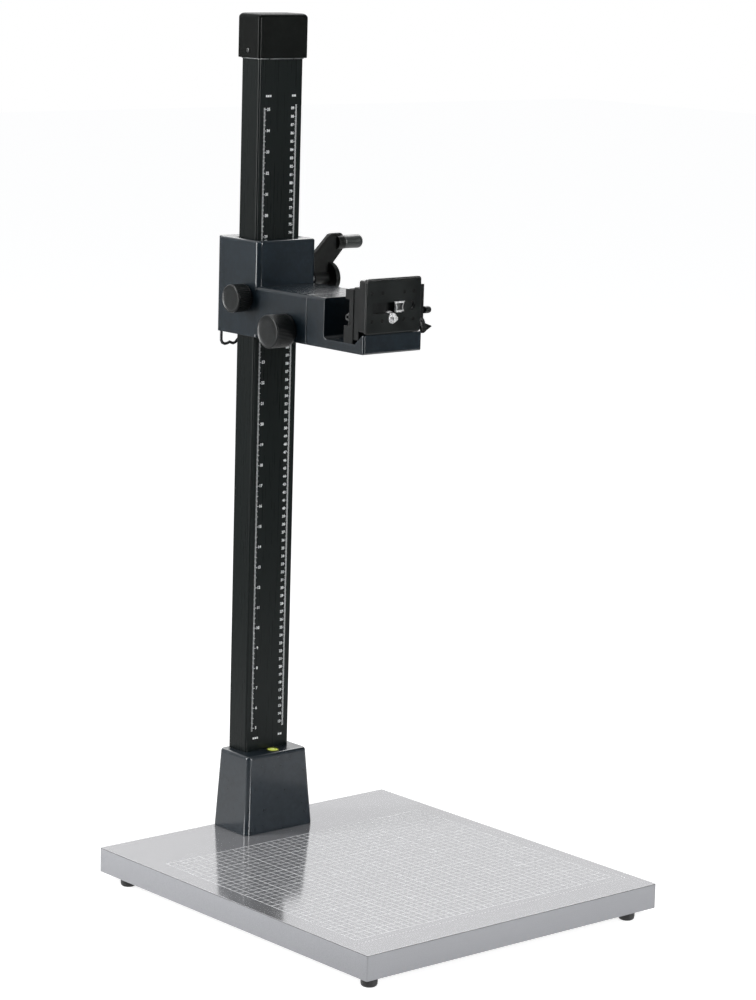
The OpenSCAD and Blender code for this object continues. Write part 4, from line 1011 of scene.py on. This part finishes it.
def floor_material():
    """White with a shadow for the camera, grey for bounced light, and the studio's glow for gloss."""
    mat = bpy.data.materials.new("floor")
    mat.use_nodes = True
    t = mat.node_tree
    t.nodes.clear()
    out = t.nodes.new("ShaderNodeOutputMaterial")
    seen = wire(t, "ShaderNodeAddShader", {
        0: wire(t, "ShaderNodeBsdfDiffuse", {"Color": (0.5, 0.5, 0.5, 1)}),
        1: wire(t, "ShaderNodeEmission", {"Strength": 0.84})})
    bounce = wire(t, "ShaderNodeBsdfDiffuse", {"Color": (0.72, 0.72, 0.72, 1)})
    place = t.nodes.new("ShaderNodeNewGeometry").outputs["Position"]
    length = wire(t, "ShaderNodeVectorMath", {0: place}, "Value", operation="LENGTH")
    shrink = calc(t, "DIVIDE", 1.0, calc(t, "ADD", length, 0.3))
    direction = wire(t, "ShaderNodeVectorMath", {0: place, "Scale": shrink}, operation="SCALE")
    near = ramp(t, length, 0.9, 1.9, 0.95, 0.0)
    glow = wire(t, "ShaderNodeEmission", {"Strength": calc(t, "MAXIMUM", studio_glow(t, direction), near)})
    t.links.new(by_ray(t, seen, glow, bounce), out.inputs["Surface"])
    return mat


def background(t, color, strength):
    return wire(t, "ShaderNodeBackground", {"Color": (*color, 1), "Strength": strength})


# Azimuth, elevation, width, height and strength of the lights that only gloss sees
PATCHES = ((285, 0, 9, 50, 20), (150, 0, 9, 50, 14), (47, 40, 40, 24, 5))


def studio_world():
    """White for the camera, a soft fill for light, and the studio's glow with three lights for gloss."""
    world = bpy.data.worlds.new("studio")
    world.use_nodes = True
    t = world.node_tree
    t.nodes.clear()
    out = t.nodes.new("ShaderNodeOutputWorld")
    direction = t.nodes.new("ShaderNodeTexCoord").outputs["Generated"]
    total = studio_glow(t, direction)
    for patch in PATCHES:
        total = calc(t, "ADD", total, light_patch(t, direction, *patch))
    shader = by_ray(t, camera=background(t, (1, 1, 1), 1.0), gloss=background(t, (1, 1, 1), total),
                    light=background(t, (0.95, 0.97, 1.0), 0.3))
    t.links.new(shader, out.inputs["Surface"])
    return world


def area(name, place, target, size, power):
    data = bpy.data.lights.new(name, "AREA")
    data.shape = "RECTANGLE"
    data.size, data.size_y = size
    data.energy = power
    obj = bpy.data.objects.new(name, data)
    bpy.context.scene.collection.objects.link(obj)
    obj.location = place
    obj.rotation_euler = (Vector(target) - Vector(place)).to_track_quat("-Z", "Y").to_euler()
    obj.visible_camera = False


FLOOR = 12.0
floor_mesh = bpy.data.meshes.new("studio_floor")
floor_mesh.from_pydata([(-FLOOR, -FLOOR, 0), (FLOOR, -FLOOR, 0), (FLOOR, FLOOR, 0), (-FLOOR, FLOOR, 0)], [],
                       [(0, 1, 2, 3)])
floor = add_object("studio_floor", floor_mesh, floor_material())

scene = bpy.context.scene
scene.view_settings.view_transform = "Standard"
scene.world = studio_world()
area("key_strip", (-2.25, 1.3, 1.15), target=(0, 0, 0.6), size=(0.62, 2.3), power=62)
area("side_strip", (0.67, -2.51, 1.15), target=(0, 0, 0.6), size=(0.5, 2.3), power=42)
area("top", (0.2, 0.6, 3.2), target=(0, 0, 0.2), size=(2.2, 1.8), power=34)

CAMERA_PLACE = (-2.4054, -2.7662, 1.1692)
azimuth, elevation, roll = (math.radians(v) for v in (-40.871, 10.558, 1.598))
back = Vector((math.sin(azimuth) * math.cos(elevation), -math.cos(azimuth) * math.cos(elevation),
               math.sin(elevation)))
level_right = (-back).cross(Vector(UP)).normalized()
level_up = level_right.cross(-back)
right = math.cos(roll) * level_right + math.sin(roll) * level_up
up = -math.sin(roll) * level_right + math.cos(roll) * level_up
cam_data = bpy.data.cameras.new("photo_camera")
cam_data.sensor_width = 36
cam_data.lens = 114.3
cam_data.clip_start = 0.05
cam_data.clip_end = 60
cam = bpy.data.objects.new("photo_camera", cam_data)
scene.collection.objects.link(cam)
rows = [(*axes, place) for *axes, place in zip(right, up, back, CAMERA_PLACE)]
cam.matrix_world = Matrix(rows + [(0, 0, 0, 1)])
scene.camera = cam
